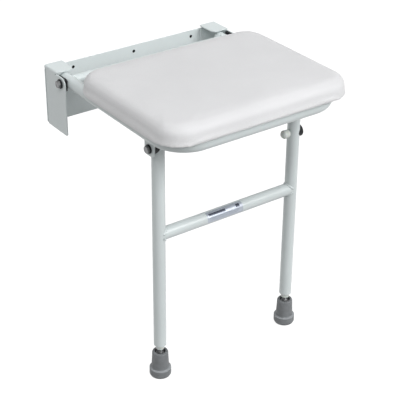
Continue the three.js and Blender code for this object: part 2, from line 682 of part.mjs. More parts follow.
addPiece('plunger_bush', plungerBush(), BLACK_NYLON);
addPiece('plunger_spring', plungerSpring(), ZINC);
addPiece('plunger_pin', plungerPin(), ZINC);
addPiece('plunger_knob', plungerKnob(), WHITE_PLASTIC);

// ---------------------------------------------------------------- adjustable feet

const FERRULE_FLOOR = 14;
const CORE_TOP = 46;
const STEM_BOTTOM = 17;

function ferrule(side) {
  const profile = [
    [0, 0], [19.2, 0], [20.8, 1.4], [21.6, 4.5], [21.4, 17], [20.6, 19.4], [18.4, 20.6],
    [17.7, 21.6], [16, 51.5], [15.9, 54.4], [14.9, FERRULE_HEIGHT], [11.6, FERRULE_HEIGHT],
    [FERRULE_BORE, 54.8], [FERRULE_BORE, FERRULE_FLOOR], [0, FERRULE_FLOOR],
  ];
  return solidFrom(turned(profile, 28).translate(side * LEG_X, LEG_Y, 0));
}

// Nylon core pressed into the ferrule; it carries the stem.
function footCore(side) {
  const radius = FERRULE_BORE - GAP;
  const bore = STEM_RADIUS + GAP;
  const profile = [
    [0, FERRULE_FLOOR + GAP], [radius, FERRULE_FLOOR + GAP], [radius, CORE_TOP],
    [bore, CORE_TOP], [bore, STEM_BOTTOM - GAP], [0, STEM_BOTTOM - GAP],
  ];
  return solidFrom(turned(profile).translate(side * LEG_X, LEG_Y, 0));
}

function footLocknut(side) {
  const bottom = CORE_TOP + GAP;
  const nut = barZ(LOCKNUT_RADIUS, side * LEG_X, LEG_Y, bottom, bottom + LOCKNUT_HEIGHT, 6);
  return cut(nut, barZ(STEM_RADIUS + GAP, side * LEG_X, LEG_Y, bottom - 1, bottom + 20, 16));
}

for (const [name, side] of SIDES) {
  addPiece(`${name}_ferrule`, ferrule(side), GREY_RUBBER);
  addPiece(`${name}_foot_core`, footCore(side), BLACK_NYLON);
  addPiece(`${name}_foot_stem`, barZ(STEM_RADIUS, side * LEG_X, LEG_Y, STEM_BOTTOM, STEM_TOP, 16),
    ZINC);
  addPiece(`${name}_foot_locknut`, footLocknut(side), ZINC);
}

// The origin is the middle of the wall plate's rear face.
seat.position.z = -(PLATE_TOP + BRACKET_BOTTOM) / 2;
seat.updateMatrixWorld(true);

export default seat;
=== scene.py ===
"""Looks for a wall-mounted fold-up shower seat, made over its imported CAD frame.

Every shape is drawn in millimetres, with X across the seat, -Y out from the wall and heights above
the floor. It is turned into the frame's metres as it is published.
"""

import math

import bmesh
import bpy
import numpy as np
from mathutils import Matrix, Vector
from mathutils.geometry import tessellate_polygon


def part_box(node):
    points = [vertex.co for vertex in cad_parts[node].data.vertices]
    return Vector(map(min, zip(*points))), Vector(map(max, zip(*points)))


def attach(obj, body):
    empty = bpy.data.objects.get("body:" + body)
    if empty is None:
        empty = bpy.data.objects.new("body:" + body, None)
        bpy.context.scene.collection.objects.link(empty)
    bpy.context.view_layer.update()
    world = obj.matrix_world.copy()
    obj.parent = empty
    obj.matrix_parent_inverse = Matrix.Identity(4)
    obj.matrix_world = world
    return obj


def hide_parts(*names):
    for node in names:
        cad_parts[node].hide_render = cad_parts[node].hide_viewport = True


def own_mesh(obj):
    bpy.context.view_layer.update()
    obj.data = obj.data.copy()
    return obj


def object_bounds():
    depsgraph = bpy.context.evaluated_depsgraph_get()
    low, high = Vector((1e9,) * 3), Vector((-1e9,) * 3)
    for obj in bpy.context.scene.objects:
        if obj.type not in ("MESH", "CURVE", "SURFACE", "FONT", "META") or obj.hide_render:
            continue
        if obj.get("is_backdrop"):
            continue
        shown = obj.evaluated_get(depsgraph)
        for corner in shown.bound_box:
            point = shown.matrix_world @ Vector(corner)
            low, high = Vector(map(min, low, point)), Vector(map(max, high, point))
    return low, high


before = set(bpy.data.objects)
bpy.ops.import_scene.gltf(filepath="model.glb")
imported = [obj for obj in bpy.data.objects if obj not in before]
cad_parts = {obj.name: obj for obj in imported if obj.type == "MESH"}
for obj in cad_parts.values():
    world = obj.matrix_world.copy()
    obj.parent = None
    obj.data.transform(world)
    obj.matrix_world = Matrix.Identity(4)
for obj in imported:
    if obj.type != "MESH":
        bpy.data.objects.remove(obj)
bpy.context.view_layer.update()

# ------ places, read from the frame

MM = 0.001  # metres in a millimetre
GROUND = Vector((0, 0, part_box("left_ferrule")[0].z))
SIDES = {"left": -1, "right": 1}


def extent(node):
    """Lowest and highest corner of a CAD node, in millimetres, with heights above the floor."""
    low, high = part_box(node)
    return np.array(low - GROUND) / MM, np.array(high - GROUND) / MM


def middle(node):
    low, high = extent(node)
    return (low + high) / 2


plate_low, plate_high = extent("wall_plate")
cap_low, cap_high = extent("right_end_cap")
SHEET = plate_high[1] - plate_low[1]
BRACKET_HALF_WIDTH = cap_high[0]
FLANGE_END = cap_low[0]
_, PIVOT_Y, SEAT_AXIS = middle("right_pivot_washer")

tube_low, tube_high = extent("seat_tube")
TUBE_RADIUS = (tube_high[2] - tube_low[2]) / 2
TUBE_WALL = 1.5
BORE_RADIUS = TUBE_RADIUS - TUBE_WALL
SEAT_HALF_SPAN = tube_high[0] - TUBE_RADIUS
FRAME_CORNER = 58

leg_low, leg_high = extent("right_leg_tube")
LEG_X, LEG_Y, _ = (leg_low + leg_high) / 2
LEG_HINGE = middle("right_hinge_washer")[2]
CROSSBAR_HEIGHT = middle("crossbar")[2]
PLUNGER_HEIGHT = middle("plunger_knob")[2]

pad_low, pad_high = extent("seat_pad")
PAD_FRONT_CORNER = 54
PAD_REAR_CORNER = 52
BOARD_INSET = 13
FERRULE_LEDGE = 17.4

CLEARANCE = 0.1  # between parts that screw or slide together
SNUG = 0.05  # between parts that touch

# ------ outlines and profiles


def unit(vectors):
    vectors = np.asarray(vectors, float)
    return vectors / np.linalg.norm(vectors, axis=-1, keepdims=True)


def fillet(corners, closed=True, step=15):
    """Points of an outline whose corners are (u, v) or, where they are rounded, (u, v, radius)."""
    points = []
    for i, corner in enumerate(corners):
        here = np.array(corner[:2], float)
        inner = closed or 0 < i < len(corners) - 1
        if len(corner) < 3 or not inner:
            points.append(here)
            continue
        back = unit(np.array(corners[i - 1][:2], float) - here)
        ahead = unit(np.array(corners[(i + 1) % len(corners)][:2], float) - here)
        half = math.acos(np.clip(back @ ahead, -1, 1)) / 2
        sweep = math.pi - 2 * half
        reach = corner[2] / math.tan(half)
        pivot = here + unit(back + ahead) * corner[2] / math.sin(half)
        start, end = here + back * reach - pivot, here + ahead * reach - pivot
        count = max(1, math.ceil(math.degrees(sweep) / step))
        for k in range(count + 1):
            part = k / count * sweep
            arm = (start * math.sin(sweep - part) + end * math.sin(part)) / math.sin(sweep)
            points.append(pivot + arm)
    kept = [p for i, p in enumerate(points) if i == 0 or np.linalg.norm(p - points[i - 1]) > 1e-4]
    if closed and np.linalg.norm(kept[0] - kept[-1]) < 1e-4:
        kept.pop()
    return np.array(kept)


def rectangle(left, bottom, right, top, low_radius, high_radius=None):
    """Outline of a rectangle, with one radius for its bottom corners and one for its top corners."""
    high_radius = low_radius if high_radius is None else high_radius
    return fillet([(left, bottom, low_radius), (right, bottom, low_radius),
                   (right, top, high_radius), (left, top, high_radius)], step=7.5)


def circle(u, v, radius, steps=32):
    angles = np.linspace(0, 2 * np.pi, steps, endpoint=False)
    return np.stack([u + radius * np.cos(angles), v + radius * np.sin(angles)], -1)


def hexagon(across_flats):
    """Radius of a hexagon at each angle."""
    return lambda a: across_flats / 2 / np.cos((a + np.pi / 6) % (np.pi / 3) - np.pi / 6)


def hex_rings(across_flats, low, high, low_chamfer=True):
    """Outer rings of a hexagon head or nut, its corners turned off at 30 degrees."""
    radius = hexagon(across_flats)
    face = 0.475 * across_flats
    slope = math.tan(math.radians(30))
    top = [(radius, lambda a: high - (radius(a) - face) * slope), (face, high)]
    if not low_chamfer:
        return [(radius, low), *top]
    return [(face, low), (radius, lambda a: low + (radius(a) - face) * slope), *top]


def thread(radius, pitch, low, high):
    """Rings of a screw thread, eight in each turn."""
    depth = 0.54 * pitch
    heights = np.linspace(low, high, max(2, round((high - low) / pitch * 8)))

    def crest(height):
        return lambda a: radius - depth / 2 * (1 - np.cos(2 * np.pi * height / pitch - a))

    return [(crest(height), height) for height in heights]


# ------ surfaces


def bridge(bm, one, two):
    """Faces between two rings of vertices, either of which may be a single tip."""
    count = max(len(one), len(two))
    for i in range(count):
        j = (i + 1) % count
        corners = [one[i], one[j]] if len(one) > 1 else [one[0]]
        corners += [two[j], two[i]] if len(two) > 1 else [two[0]]
        bm.faces.new(corners)


def skin(rings, loop=False):
    """Closed surface through rings of points. A ring of one point is a tip; loop joins the ends."""
    bm = bmesh.new()
    laid = [[bm.verts.new(point) for point in ring] for ring in rings]
    pairs = list(zip(laid, laid[1:]))
    if loop:
        pairs.append((laid[-1], laid[0]))
    for one, two in pairs:
        bridge(bm, one, two)
    if not loop:
        for end in (laid[0], laid[-1]):
            if len(end) > 2:
                bm.faces.new(end)
    bmesh.ops.recalc_face_normals(bm, faces=bm.faces)
    return bm


def stack(profile, steps=48, loop=False):
    """Rings about +Z. Each (radius, height) may be a number or a function of the angle."""
    angles = np.linspace(0, 2 * np.pi, steps, endpoint=False)
    rings = []
    for radius, height in profile:
        r = radius(angles) if callable(radius) else np.full(steps, float(radius))
        h = height(angles) if callable(height) else np.full(steps, float(height))
        if not callable(radius) and abs(radius) < 1e-9:
            rings.append([(0, 0, h[0])])
        else:
            rings.append(np.stack([r * np.cos(angles), r * np.sin(angles), h], -1))
    return skin(rings, loop)


def turned(corners, steps=64, closed=False, step=15):
    """Turned piece whose profile has rounded corners. A closed profile leaves its middle open."""
    return stack(fillet(corners, closed, step), steps, loop=closed)


def inset(outline, distance):
    """Moves every side of a closed outline to its left."""
    ahead = unit(np.roll(outline, -1, 0) - outline)
    behind = np.roll(ahead, 1, 0)
    left = np.stack([-ahead[:, 1], ahead[:, 0]], -1)
    other = np.stack([-behind[:, 1], behind[:, 0]], -1)
    share = 1 + (left * other).sum(-1, keepdims=True)
    return outline + distance * (left + other) / share


def plate(outlines, thickness, edge=0.4, steps=3):
    """Flat sheet from height 0 up, with rounded edges. The first outline is its rim, others are holes."""
    bm = bmesh.new()
    angles = np.linspace(0, np.pi / 2, steps + 1)
    rounding = [(edge * (1 - math.sin(a)), edge * (1 - math.cos(a))) for a in angles]
    levels = rounding + [(move, thickness - height) for move, height in reversed(rounding)]
    ends = ([], [])
    for i, outline in enumerate(outlines):
        outline = np.asarray(outline, float)
        after = np.roll(outline, -1, 0)
        area = (outline[:, 0] * after[:, 1] - outline[:, 1] * after[:, 0]).sum()
        if (area > 0) != (i == 0):
            outline = outline[::-1]
        rings = []
        for move, height in levels:
            flat = inset(outline, move)
            rings.append([bm.verts.new((u, v, height)) for u, v in flat])
        for one, two in zip(rings, rings[1:]):
            bridge(bm, one, two)
        ends[0].append(rings[0])
        ends[1].append(rings[-1])
    for loops in ends:
        corners = [vert for loop in loops for vert in loop]
        for triangle in tessellate_polygon([[vert.co for vert in loop] for loop in loops]):
            bm.faces.new([corners[k] for k in triangle])
    bmesh.ops.recalc_face_normals(bm, faces=bm.faces)
    return bm


def rod(points, aside, radius, sides, closed=False):
    """Round rod along a path. aside is one direction, or one for each point, never along the path."""
    points = np.asarray(points, float)
    if closed:
        tangents = np.roll(points, -1, 0) - np.roll(points, 1, 0)
    else:
        tangents = np.gradient(points, axis=0)
    tangents = unit(tangents)
    across = unit(np.cross(tangents, np.broadcast_to(aside, points.shape)))
    up = np.cross(across, tangents)
    sizes = np.broadcast_to(radius, len(points))
    rings = []
    for point, one, two, size in zip(points, across, up, sizes):
        angles = np.linspace(0, 2 * np.pi, sides, endpoint=False)[:, None]
        rings.append(point + size * (np.cos(angles) * one + np.sin(angles) * two))
    return skin(rings, closed)


def moved(bm, matrix):
    bm.transform(matrix)
    if matrix.determinant() < 0:
        bmesh.ops.reverse_faces(bm, faces=bm.faces)
    return bm


def axes(place, x, y, z):
    """Matrix that lays a piece's own axes along these directions, from this place."""
    matrix = Matrix((x, y, z)).transposed().to_4x4()
    matrix.translation = Vector(place)
    return matrix


def outward(side, x, y, z):
    """The piece's +Z points away from the middle of the seat, along X."""
    return axes((side * x, y, z), (0, 1, 0), (0, 0, side), (side, 0, 0))


def facing_out(x=0, z=0):
    """A flat outline's own u and v run along X and Z, and its thickness away from the wall."""
    return axes((x, 0, z), (1, 0, 0), (0, 0, 1), (0, -1, 0))


def facing_aside(x):
    """A flat outline's own u and v run along Y and Z, and its thickness along X from this place."""
    return axes((x, 0, 0), (0, 1, 0), (0, 0, 1), (1, 0, 0))


def upright(x, y, z=0):
    return Matrix.Translation((x, y, z))


def about_z(degrees):
    return Matrix.Rotation(math.radians(degrees), 4, "Z")


def as_mesh(name, bm):
    mesh = bpy.data.meshes.new(name)
    bm.to_mesh(mesh)
    bm.free()
    return mesh


def placed(name, data):
    """A new object in the scene that shows this data."""
    obj = bpy.data.objects.new(name, data)
    bpy.context.scene.collection.objects.link(obj)
    return obj


def discard(obj):
    mesh = obj.data
    bpy.data.objects.remove(obj)
    bpy.data.meshes.remove(mesh)


def joined(*parts):
    """One surface mesh holding several closed ones."""
    whole = parts[0]
    for part in parts[1:]:
        mesh = as_mesh("part", part)
        whole.from_mesh(mesh)
        bpy.data.meshes.remove(mesh)
    return whole


def temporary(bm):
    return placed("temporary", as_mesh("temporary", bm))


def evaluated(obj):
    """The object's mesh with its modifiers applied, as a bmesh; the object is then removed."""
    bpy.context.view_layer.update()
    shown = obj.evaluated_get(bpy.context.evaluated_depsgraph_get())
    bm = bmesh.new()
    bm.from_mesh(shown.to_mesh())
    discard(obj)
    return bm


def carve(bm, *tools):
    """Cuts closed tools out of a closed surface."""
    target = temporary(bm)
    cutters = [temporary(tool) for tool in tools]
    for cutter in cutters:
        modifier = target.modifiers.new("cut", "BOOLEAN")
        modifier.object = cutter
        modifier.operation = "DIFFERENCE"
        modifier.solver = "EXACT"
    result = evaluated(target)
    for cutter in cutters:
        discard(cutter)
    return result


def drill(radius, start, end):
    """Closed cylinder about +Z, to cut a hole with."""
    return stack([(0, start), (radius, start), (radius, end), (0, end)], 24)


def sliced(bm, place, normal, clear=False):
    """Adds edges where a plane meets a surface and, if asked, clears away what lies behind it."""
    everything = [*bm.verts, *bm.edges, *bm.faces]
    bmesh.ops.bisect_plane(bm, geom=everything, plane_co=place, plane_no=normal, dist=1e-4,
                           clear_inner=clear)


# ------ materials


class Nodes:
    """Adds nodes to a tree, each linked or set as it is made."""

    def __init__(self, tree):
        self.tree = tree

    def add(self, kind, inputs=None, **settings):
        node = self.tree.nodes.new(kind)
        for key, value in settings.items():
            setattr(node, key, value)
        for key, value in (inputs or {}).items():
            if isinstance(value, bpy.types.NodeSocket):
                self.tree.links.new(value, node.inputs[key])
            else:
                node.inputs[key].default_value = value
        return node

    def spread(self, value, low, high, to_low=0.0, to_high=1.0):
        node = self.add("ShaderNodeMapRange", {
            "Value": value, "From Min": low, "From Max": high, "To Min": to_low, "To Max": to_high})
        return node.outputs["Result"]


class Look(Nodes):
    """A Principled material whose detail is drawn in object space, in metres."""

    def __init__(self, name, colour, roughness, metallic=0.0, **constants):
        self.material = bpy.data.materials.new(name)
        self.material.use_nodes = True
        super().__init__(self.material.node_tree)
        self.colour = colour
        self.shader = self.tree.nodes["Principled BSDF"]
        constants.update(Base_Color=(*colour, 1), Roughness=roughness, Metallic=metallic)
        for socket, value in constants.items():
            self.shader.inputs[socket.replace("_", " ")].default_value = value
        self.place = self.add("ShaderNodeTexCoord").outputs["Object"]

    def coordinate(self, axis):
        return self.add("ShaderNodeSeparateXYZ", {"Vector": self.place}).outputs[axis]

    def noise(self, scale, detail, roughness=0.5, stretch=None):
        """Noise in coordinates that may have a different scale along each axis."""
        vector = self.place
        if stretch:
            vector = self.add("ShaderNodeMapping", {"Vector": vector, "Scale": stretch}).outputs["Vector"]
        node = self.add("ShaderNodeTexNoise", {
            "Vector": vector, "Scale": scale, "Detail": detail, "Roughness": roughness})
        return node.outputs["Fac"]

    def patches(self, scale, detail, low=0.0, high=1.0, roughness=0.5, stretch=None):
        """Soft-edged patches of noise, from one value to another."""
        return self.spread(self.noise(scale, detail, roughness, stretch), 0.3, 0.7, low, high)

    def cells(self, scale, feature="F1", vector=None):
        inputs = {"Vector": vector or self.place, "Scale": scale}
        return self.add("ShaderNodeTexVoronoi", inputs, feature=feature).outputs["Distance"]

    def math(self, operation, one, two):
        return self.add("ShaderNodeMath", {0: one, 1: two}, operation=operation).outputs["Value"]

    def times(self, one, two):
        return self.math("MULTIPLY", one, two)

    def blend(self, share, one, two):
        """Colour between two others; each is a colour with its alpha, or a socket."""
        return self.add("ShaderNodeMix", {0: share, 6: one, 7: two}, data_type="RGBA").outputs[2]

    def shade(self, factor):
        return (*[min(1.0, channel * factor) for channel in self.colour], 1)

    def mottled(self, share, dark, light):
        """The look's colour, from one strength to another."""
        return self.blend(share, self.shade(dark), self.shade(light))

    def marked(self, tone, share, factor):
        """A tone that goes over to another strength of the look's colour where it is marked."""
        return self.blend(share, tone, self.shade(factor))

    def bump(self, height, distance, strength, under=None):
        node = self.add("ShaderNodeBump", {"Height": height, "Distance": distance, "Strength": strength})
        if under is not None:
            self.tree.links.new(under, node.inputs["Normal"])
        return node.outputs["Normal"]

    def finished(self, tone, gloss=None, normal=None):
        """The material, with what varies over its surface linked in."""
        for socket, value in (("Base Color", tone), ("Roughness", gloss), ("Normal", normal)):
            if value is not None:
                self.tree.links.new(value, self.shader.inputs[socket])
        return self.material


def frame_paint():
    """Pale powder coat: orange peel, faint clouding and a few specks of dust in the film."""
    look = Look("powder_coat", (0.668, 0.725, 0.728), 0.36, Coat_Weight=0.12, Coat_Roughness=0.22)
    specks = look.spread(look.cells(260), 0.0, 0.10, 1.0, 0.0)
    rare = look.spread(look.noise(55, 1), 0.62, 0.68)
    tone = look.mottled(look.patches(9, 3), 0.965, 1.03)
    tone = look.marked(tone, look.times(specks, rare), 0.72)
    gloss = look.spread(look.noise(120, 2), 0.25, 0.75, 0.29, 0.43)
    peel = look.bump(look.noise(620, 2, 0.45), 0.00022, 0.35)
    return look.finished(tone, gloss, look.bump(look.noise(2600, 1), 0.00005, 0.3, peel))


def pad_skin():
    """Moulded polyurethane skin: matt fine grain with painted crease shade, and painted light paling its
    sides.
    """
    look = Look("pad_skin", (0.655, 0.657, 0.667), 0.5, Sheen_Weight=0.04, Sheen_Roughness=0.5,
                Subsurface_Weight=0.6, Subsurface_Scale=0.02, Subsurface_Radius=(1.0, 1.0, 1.0))
    wander = {0: look.noise(300, 2), 1: (0.0009, 0.0009, 0.0009)}
    shift = look.add("ShaderNodeVectorMath", wander, operation="MULTIPLY").outputs[0]
    warped = look.add("ShaderNodeVectorMath", {0: look.place, 1: shift}, operation="ADD").outputs[0]
    creases = look.cells(680, "DISTANCE_TO_EDGE", warped)
    valley = look.spread(creases, 0.0, 0.16, 1.0, 0.0)
    top = pad_high[2] * MM + GROUND.z
    # painted light: the sides grow paler downwards, standing in for the light they catch
    painted_side_light = look.spread(look.coordinate("Z"), top - 0.034, top - 0.006, 1.0, 0.0)
    tone = look.mottled(look.patches(7, 3), 0.97, 1.025)
    tone = look.marked(tone, look.times(painted_side_light, 0.92), 1.31)
    # painted shade: the grain's creases are painted darker, as shade that falls in them
    tone = look.marked(tone, look.times(valley, 0.35), 0.88)
    gloss = look.math("ADD", look.patches(40, 3, 0.44, 0.56), look.times(valley, 0.08))
    grain = look.bump(look.spread(creases, 0.0, 0.22), 0.00018, 0.5)
    return look.finished(tone, gloss, look.bump(look.noise(2400, 2), 0.00006, 0.4, grain))


def board_grey():
    """Rigid moulded board: coarse spark-eroded texture with a pale scuffed tone."""
    look = Look("moulded_board", (0.275, 0.285, 0.295), 0.75)
    scuffs = look.spread(look.noise(60, 4, 0.7, (1, 0.12, 1)), 0.62, 0.74, 0.0, 0.5)
    tone = look.marked(look.mottled(look.patches(14, 4), 0.9, 1.1), scuffs, 1.45)
    return look.finished(tone, look.patches(90, 2, 0.66, 0.84), look.bump(look.cells(950), 0.00018, 0.6))


def black_nylon():
    """Moulded nylon: near black, with grey bloom and a fine satin texture."""
    look = Look("black_nylon", (0.007, 0.008, 0.010), 0.42, Specular_IOR_Level=0.25)
    bloom = look.spread(look.noise(70, 4, 0.6), 0.45, 0.75, 0.0, 0.7)
    tone = look.blend(bloom, look.shade(1), (0.020, 0.022, 0.026, 1))
    grain = look.bump(look.noise(1900, 2), 0.00008, 0.5)
    return look.finished(tone, look.patches(260, 3, 0.34, 0.52), grain)


def white_plastic():
    """Injection-moulded white plastic, a little green, with flow marks."""
    look = Look("white_plastic", (0.735, 0.780, 0.748), 0.38, Subsurface_Weight=0.08,
                Subsurface_Scale=0.002)
    tone = look.mottled(look.patches(40, 3, stretch=(3, 1, 0.5)), 0.95, 1.03)
    grain = look.bump(look.noise(1300, 2), 0.00006, 0.4)
    return look.finished(tone, look.patches(180, 2, 0.31, 0.46), grain)


def zinc():
    """Bright zinc plate: crystalline mottling and fine handling scratches."""
    look = Look("zinc_plate", (0.22, 0.224, 0.228), 0.30, metallic=1.0)
    tone = look.mottled(look.spread(look.cells(850), 0.1, 0.7), 0.86, 1.12)
    scratch = look.bump(look.noise(900, 2, 0.6, (0.06, 1, 1)), 0.00004, 0.4)
    return look.finished(tone, look.patches(300, 3, 0.24, 0.44), scratch)


def grey_rubber():
    """Filled grey rubber: mottled, with pale specks and a painted highlight along its ledge."""
    look = Look("grey_rubber", (0.184, 0.194, 0.203), 0.6)
    specks = look.spread(look.cells(800), 0.02, 0.14, 1.0, 0.0)
    height, ledge = look.coordinate("Z"), FERRULE_LEDGE * MM + GROUND.z
    # painted highlight: a pale band at the ferrule's ledge, standing in for the light its edge catches
    above = look.spread(height, ledge - 0.0012, ledge - 0.0002)
    below = look.spread(height, ledge + 0.0012, ledge + 0.0024, 1.0, 0.0)
    tone = look.mottled(look.patches(55, 5, roughness=0.65), 0.86, 1.14)
    tone = look.marked(tone, look.times(specks, 0.35), 1.9)
    tone = look.marked(tone, look.times(look.times(above, below), 0.8), 1.75)
    grain = look.bump(look.noise(1100, 4, 0.6), 0.00014, 0.5)
    return look.finished(tone, look.patches(120, 3, 0.46, 0.68), grain)


def label_foil():
    """Foil label with generic printed bars and no lettering."""
    ink, fine_ink = (0.07, 0.08, 0.11, 1), (0.26, 0.29, 0.34, 1)
    look = Look("label_foil", (0.47, 0.51, 0.58), 0.34, metallic=0.35)
    low, high = extent("crossbar_label")
    along = look.spread(look.coordinate("X"), low[0] * MM, high[0] * MM)
    upwards = look.spread(look.coordinate("Z"), low[2] * MM + GROUND.z, high[2] * MM + GROUND.z)

    def bar(left, bottom, right, top):
        """1 inside a rectangle of the label, given in shares of its length and height."""
        share = 1.0
        for place, start, end in ((along, left, right), (upwards, bottom, top)):
            share = look.times(share, look.math("GREATER_THAN", place, start))
            share = look.times(share, look.math("LESS_THAN", place, end))
        return share

    title = look.math("MAXIMUM", bar(0.05, 0.72, 0.52, 0.90), bar(0.82, 0.70, 0.92, 0.93))
    lines = bar(0.06, 0.52, 0.90, 0.56)
    for row in (0.42, 0.31, 0.20):
        lines = look.math("MAXIMUM", lines, bar(0.06, row, 0.78 + row / 4, row + 0.04))
    tone = look.mottled(look.patches(260, 2, stretch=(0.05, 1, 1)), 0.93, 1.07)
    tone = look.blend(lines, look.blend(title, tone, ink), fine_ink)
    crinkle = look.bump(look.noise(180, 2), 0.00008, 0.35)
    return look.finished(tone, look.patches(150, 2, 0.28, 0.42), crinkle)


LOOKS = {make.__name__: make() for make in (
    frame_paint, pad_skin, board_grey, black_nylon, white_plastic, zinc, grey_rubber, label_foil)}

# ------ publishing

SHARP_ANGLE = math.radians(38)


def publish(name, bm, body, slot, *stands_for):
    """Makes a piece from a closed surface: it rides on a body and stands for CAD nodes."""
    bm.transform(Matrix.Translation(GROUND) @ Matrix.Scale(MM, 4))
    mesh = as_mesh(name, bm)
    mesh.materials.append(LOOKS[slot])
    mesh.shade_smooth()
    mesh.set_sharp_from_angle(angle=SHARP_ANGLE)
    piece = placed(name, mesh)
    piece.modifiers.new("face_normals", "WEIGHTED_NORMAL").keep_sharp = True
    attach(piece, body)
    if stands_for:
        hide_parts(*stands_for)
    return piece


def publish_side(name, body, pieces):
    """Publishes one side's pieces, each given as its name, surface, slot and CAD node, if it has one."""
    for piece, bm, slot, *nodes in pieces:
        publish(f"{name}_{piece}", bm, body, slot, *[f"{name}_{node}" for node in nodes])


# ------ wall bracket

CAP_BEND = 3.5
FOLD_STEPS = 6
BOLT_HOLE = 4.4
WALL_HOLE = 3.25
TOP_ROW, BOTTOM_ROW = plate_high[2] - 13, plate_low[2] + 14
WALL_HOLES = [(-142, TOP_ROW), (0, TOP_ROW), (142, TOP_ROW), (-70, BOTTOM_ROW), (70, BOTTOM_ROW)]


def wall_plate():
    rim = rectangle(plate_low[0], plate_low[2], plate_high[0], plate_high[2], 4)
    holes = [circle(x, z, WALL_HOLE, 28) for x, z in WALL_HOLES]
    return moved(plate([rim, *holes], SHEET), facing_out())


def hole_shade_cups():
    """Dark cups in the plate's screw holes, open to the front: a dark sheet set where there is only shade
    inside the holes.
    """
    radius, lip = WALL_HOLE - SNUG, SHEET - 0.2
    profile = [(0, 0.05), (radius, 0.05), (radius, lip), (3.0, lip + 0.1), (2.8, lip), (2.7, 0.5),
               (0, 0.5)]
    return joined(*[moved(stack(profile, 28), facing_out(x, z)) for x, z in WALL_HOLES])


def end_cap(side):
    """The cap's flat pattern, folded over the plate's top edge and back across its front face.

    The pattern's u runs out from the wall and its v upwards, both on the sheet's outer face.
    """
    front, low = -cap_low[1], cap_low[2]
    fold_depth, flange_depth, inner_corner = 42.5, 48.5, 13
    cheek_round, notch_width, notch_depth = 13.5, 2, 4.5
    cheek_top = SEAT_AXIS + cheek_round
    inner_top = cheek_top - notch_depth
    hook, slit_top, slit = plate_high[2] + 0.3, plate_high[2] - 1.5, 7.5
    bend = CAP_BEND * math.pi / 2
    flat = BRACKET_HALF_WIDTH - CAP_BEND - FLANGE_END
    top_fold = cap_high[2] - CAP_BEND
    rear_fold = SHEET + 0.3 + CAP_BEND
    top_end = top_fold + bend + flat
    rear_end = rear_fold - bend - flat
    rim = fillet([
        (rear_end, low, 3), (front - 3, low, 1), (front, low + 3, 1), (front, cheek_top, cheek_round),
        (fold_depth + notch_width, cheek_top, 1), (fold_depth + notch_width, inner_top),
        (fold_depth, inner_top), (fold_depth, cheek_top),
        (flange_depth, cheek_top, flange_depth - fold_depth - 0.01),
        (flange_depth, top_end, inner_corner), (0, top_end, 2), (0, hook), (slit, hook),
        (slit, slit_top), (rear_end, slit_top, 3)], step=10)
    sheet = plate([rim, circle(-PIVOT_Y, SEAT_AXIS, BOLT_HOLE)], SHEET)
    strips = [bend * k / FOLD_STEPS for k in range(FOLD_STEPS + 1)]
    for reach in strips:
        sliced(sheet, (0, top_fold + reach, 0), (0, 1, 0))
    for reach in strips:
        sliced(sheet, (rear_fold - reach, 0, 0), (1, 0, 0))

    def folded(past, depth):
        """Distances along the first face's inside and across it, past a fold line."""
        if past <= 0:
            return depth, past
        radius = CAP_BEND - depth
        angle = min(past / CAP_BEND, math.pi / 2)
        beyond = max(0.0, past - bend)
        return CAP_BEND - radius * math.cos(angle) + beyond, radius * math.sin(angle)

    for vert in sheet.verts:
        u, v, depth = vert.co
        if v > top_fold:
            inside, rise = folded(v - top_fold, depth)
            v = top_fold + rise
        elif u < rear_fold and v < plate_high[2] - 0.5:
            inside, back = folded(rear_fold - u, depth)
            u = rear_fold - back
        else:
            inside = depth
        vert.co = (side * (BRACKET_HALF_WIDTH - inside), -u, v)
    bmesh.ops.recalc_face_normals(sheet, faces=sheet.faces)
    return sheet


def washer(side, node, y, z, bore, crown=0.35):
    """Ring along X in the place of a CAD washer on the right, or in its mirror place."""
    low, high = extent(node)
    radius, thickness = (high[1] - low[1]) / 2, high[0] - low[0]
    ring = turned([
        (bore, 0, 0.2), (radius, 0, crown), (radius, thickness, crown), (bore, thickness, 0.2)],
        closed=True, step=30)
    return moved(ring, outward(side, low[0], y, z))


def spacer(name):
    low, high = extent(f"{name}_pivot_spacer")
    rim = rectangle(low[1], low[2], high[1], high[2], 3)
    block = plate([rim, circle(PIVOT_Y, SEAT_AXIS, BOLT_HOLE)], high[0] - low[0], 0.6)
    return moved(block, facing_aside(low[0]))


publish("wall_plate_shell", wall_plate(), "wall_bracket", "frame_paint", "wall_plate")
# painted shade: dark cups fill the screw holes where only shade would be
publish("wall_hole_shade_cups", hole_shade_cups(), "wall_bracket", "black_nylon")
for name, side in SIDES.items():
    pivot_ring = washer(side, "right_pivot_washer", PIVOT_Y, SEAT_AXIS, BOLT_HOLE, 0.6)
    publish_side(name, "wall_bracket", [
        ("folded_cap", end_cap(side), "frame_paint", "end_cap"),
        ("spacer_block", spacer(name), "black_nylon", "pivot_spacer"),
        ("pivot_ring", pivot_ring, "black_nylon", "pivot_washer")])

# ------ screws, bolts and nuts

SCREW_HEAD, SCREW_HEAD_RADIUS, SCREW_SHANK, SCREW_PITCH = 3, 6, 3, 1.4
M8_RADIUS, M8_PITCH, M8_FLATS = 4, 1.25, 13
M10_RADIUS, M10_PITCH, M10_FLATS = 5, 1.5, 17
HEX_HEIGHT = 5.4
HINGE_NUT_HEIGHT = 6.5
BOLT_STEPS = 36
THROUGH = 20  # reach of a drill that goes right through a tube


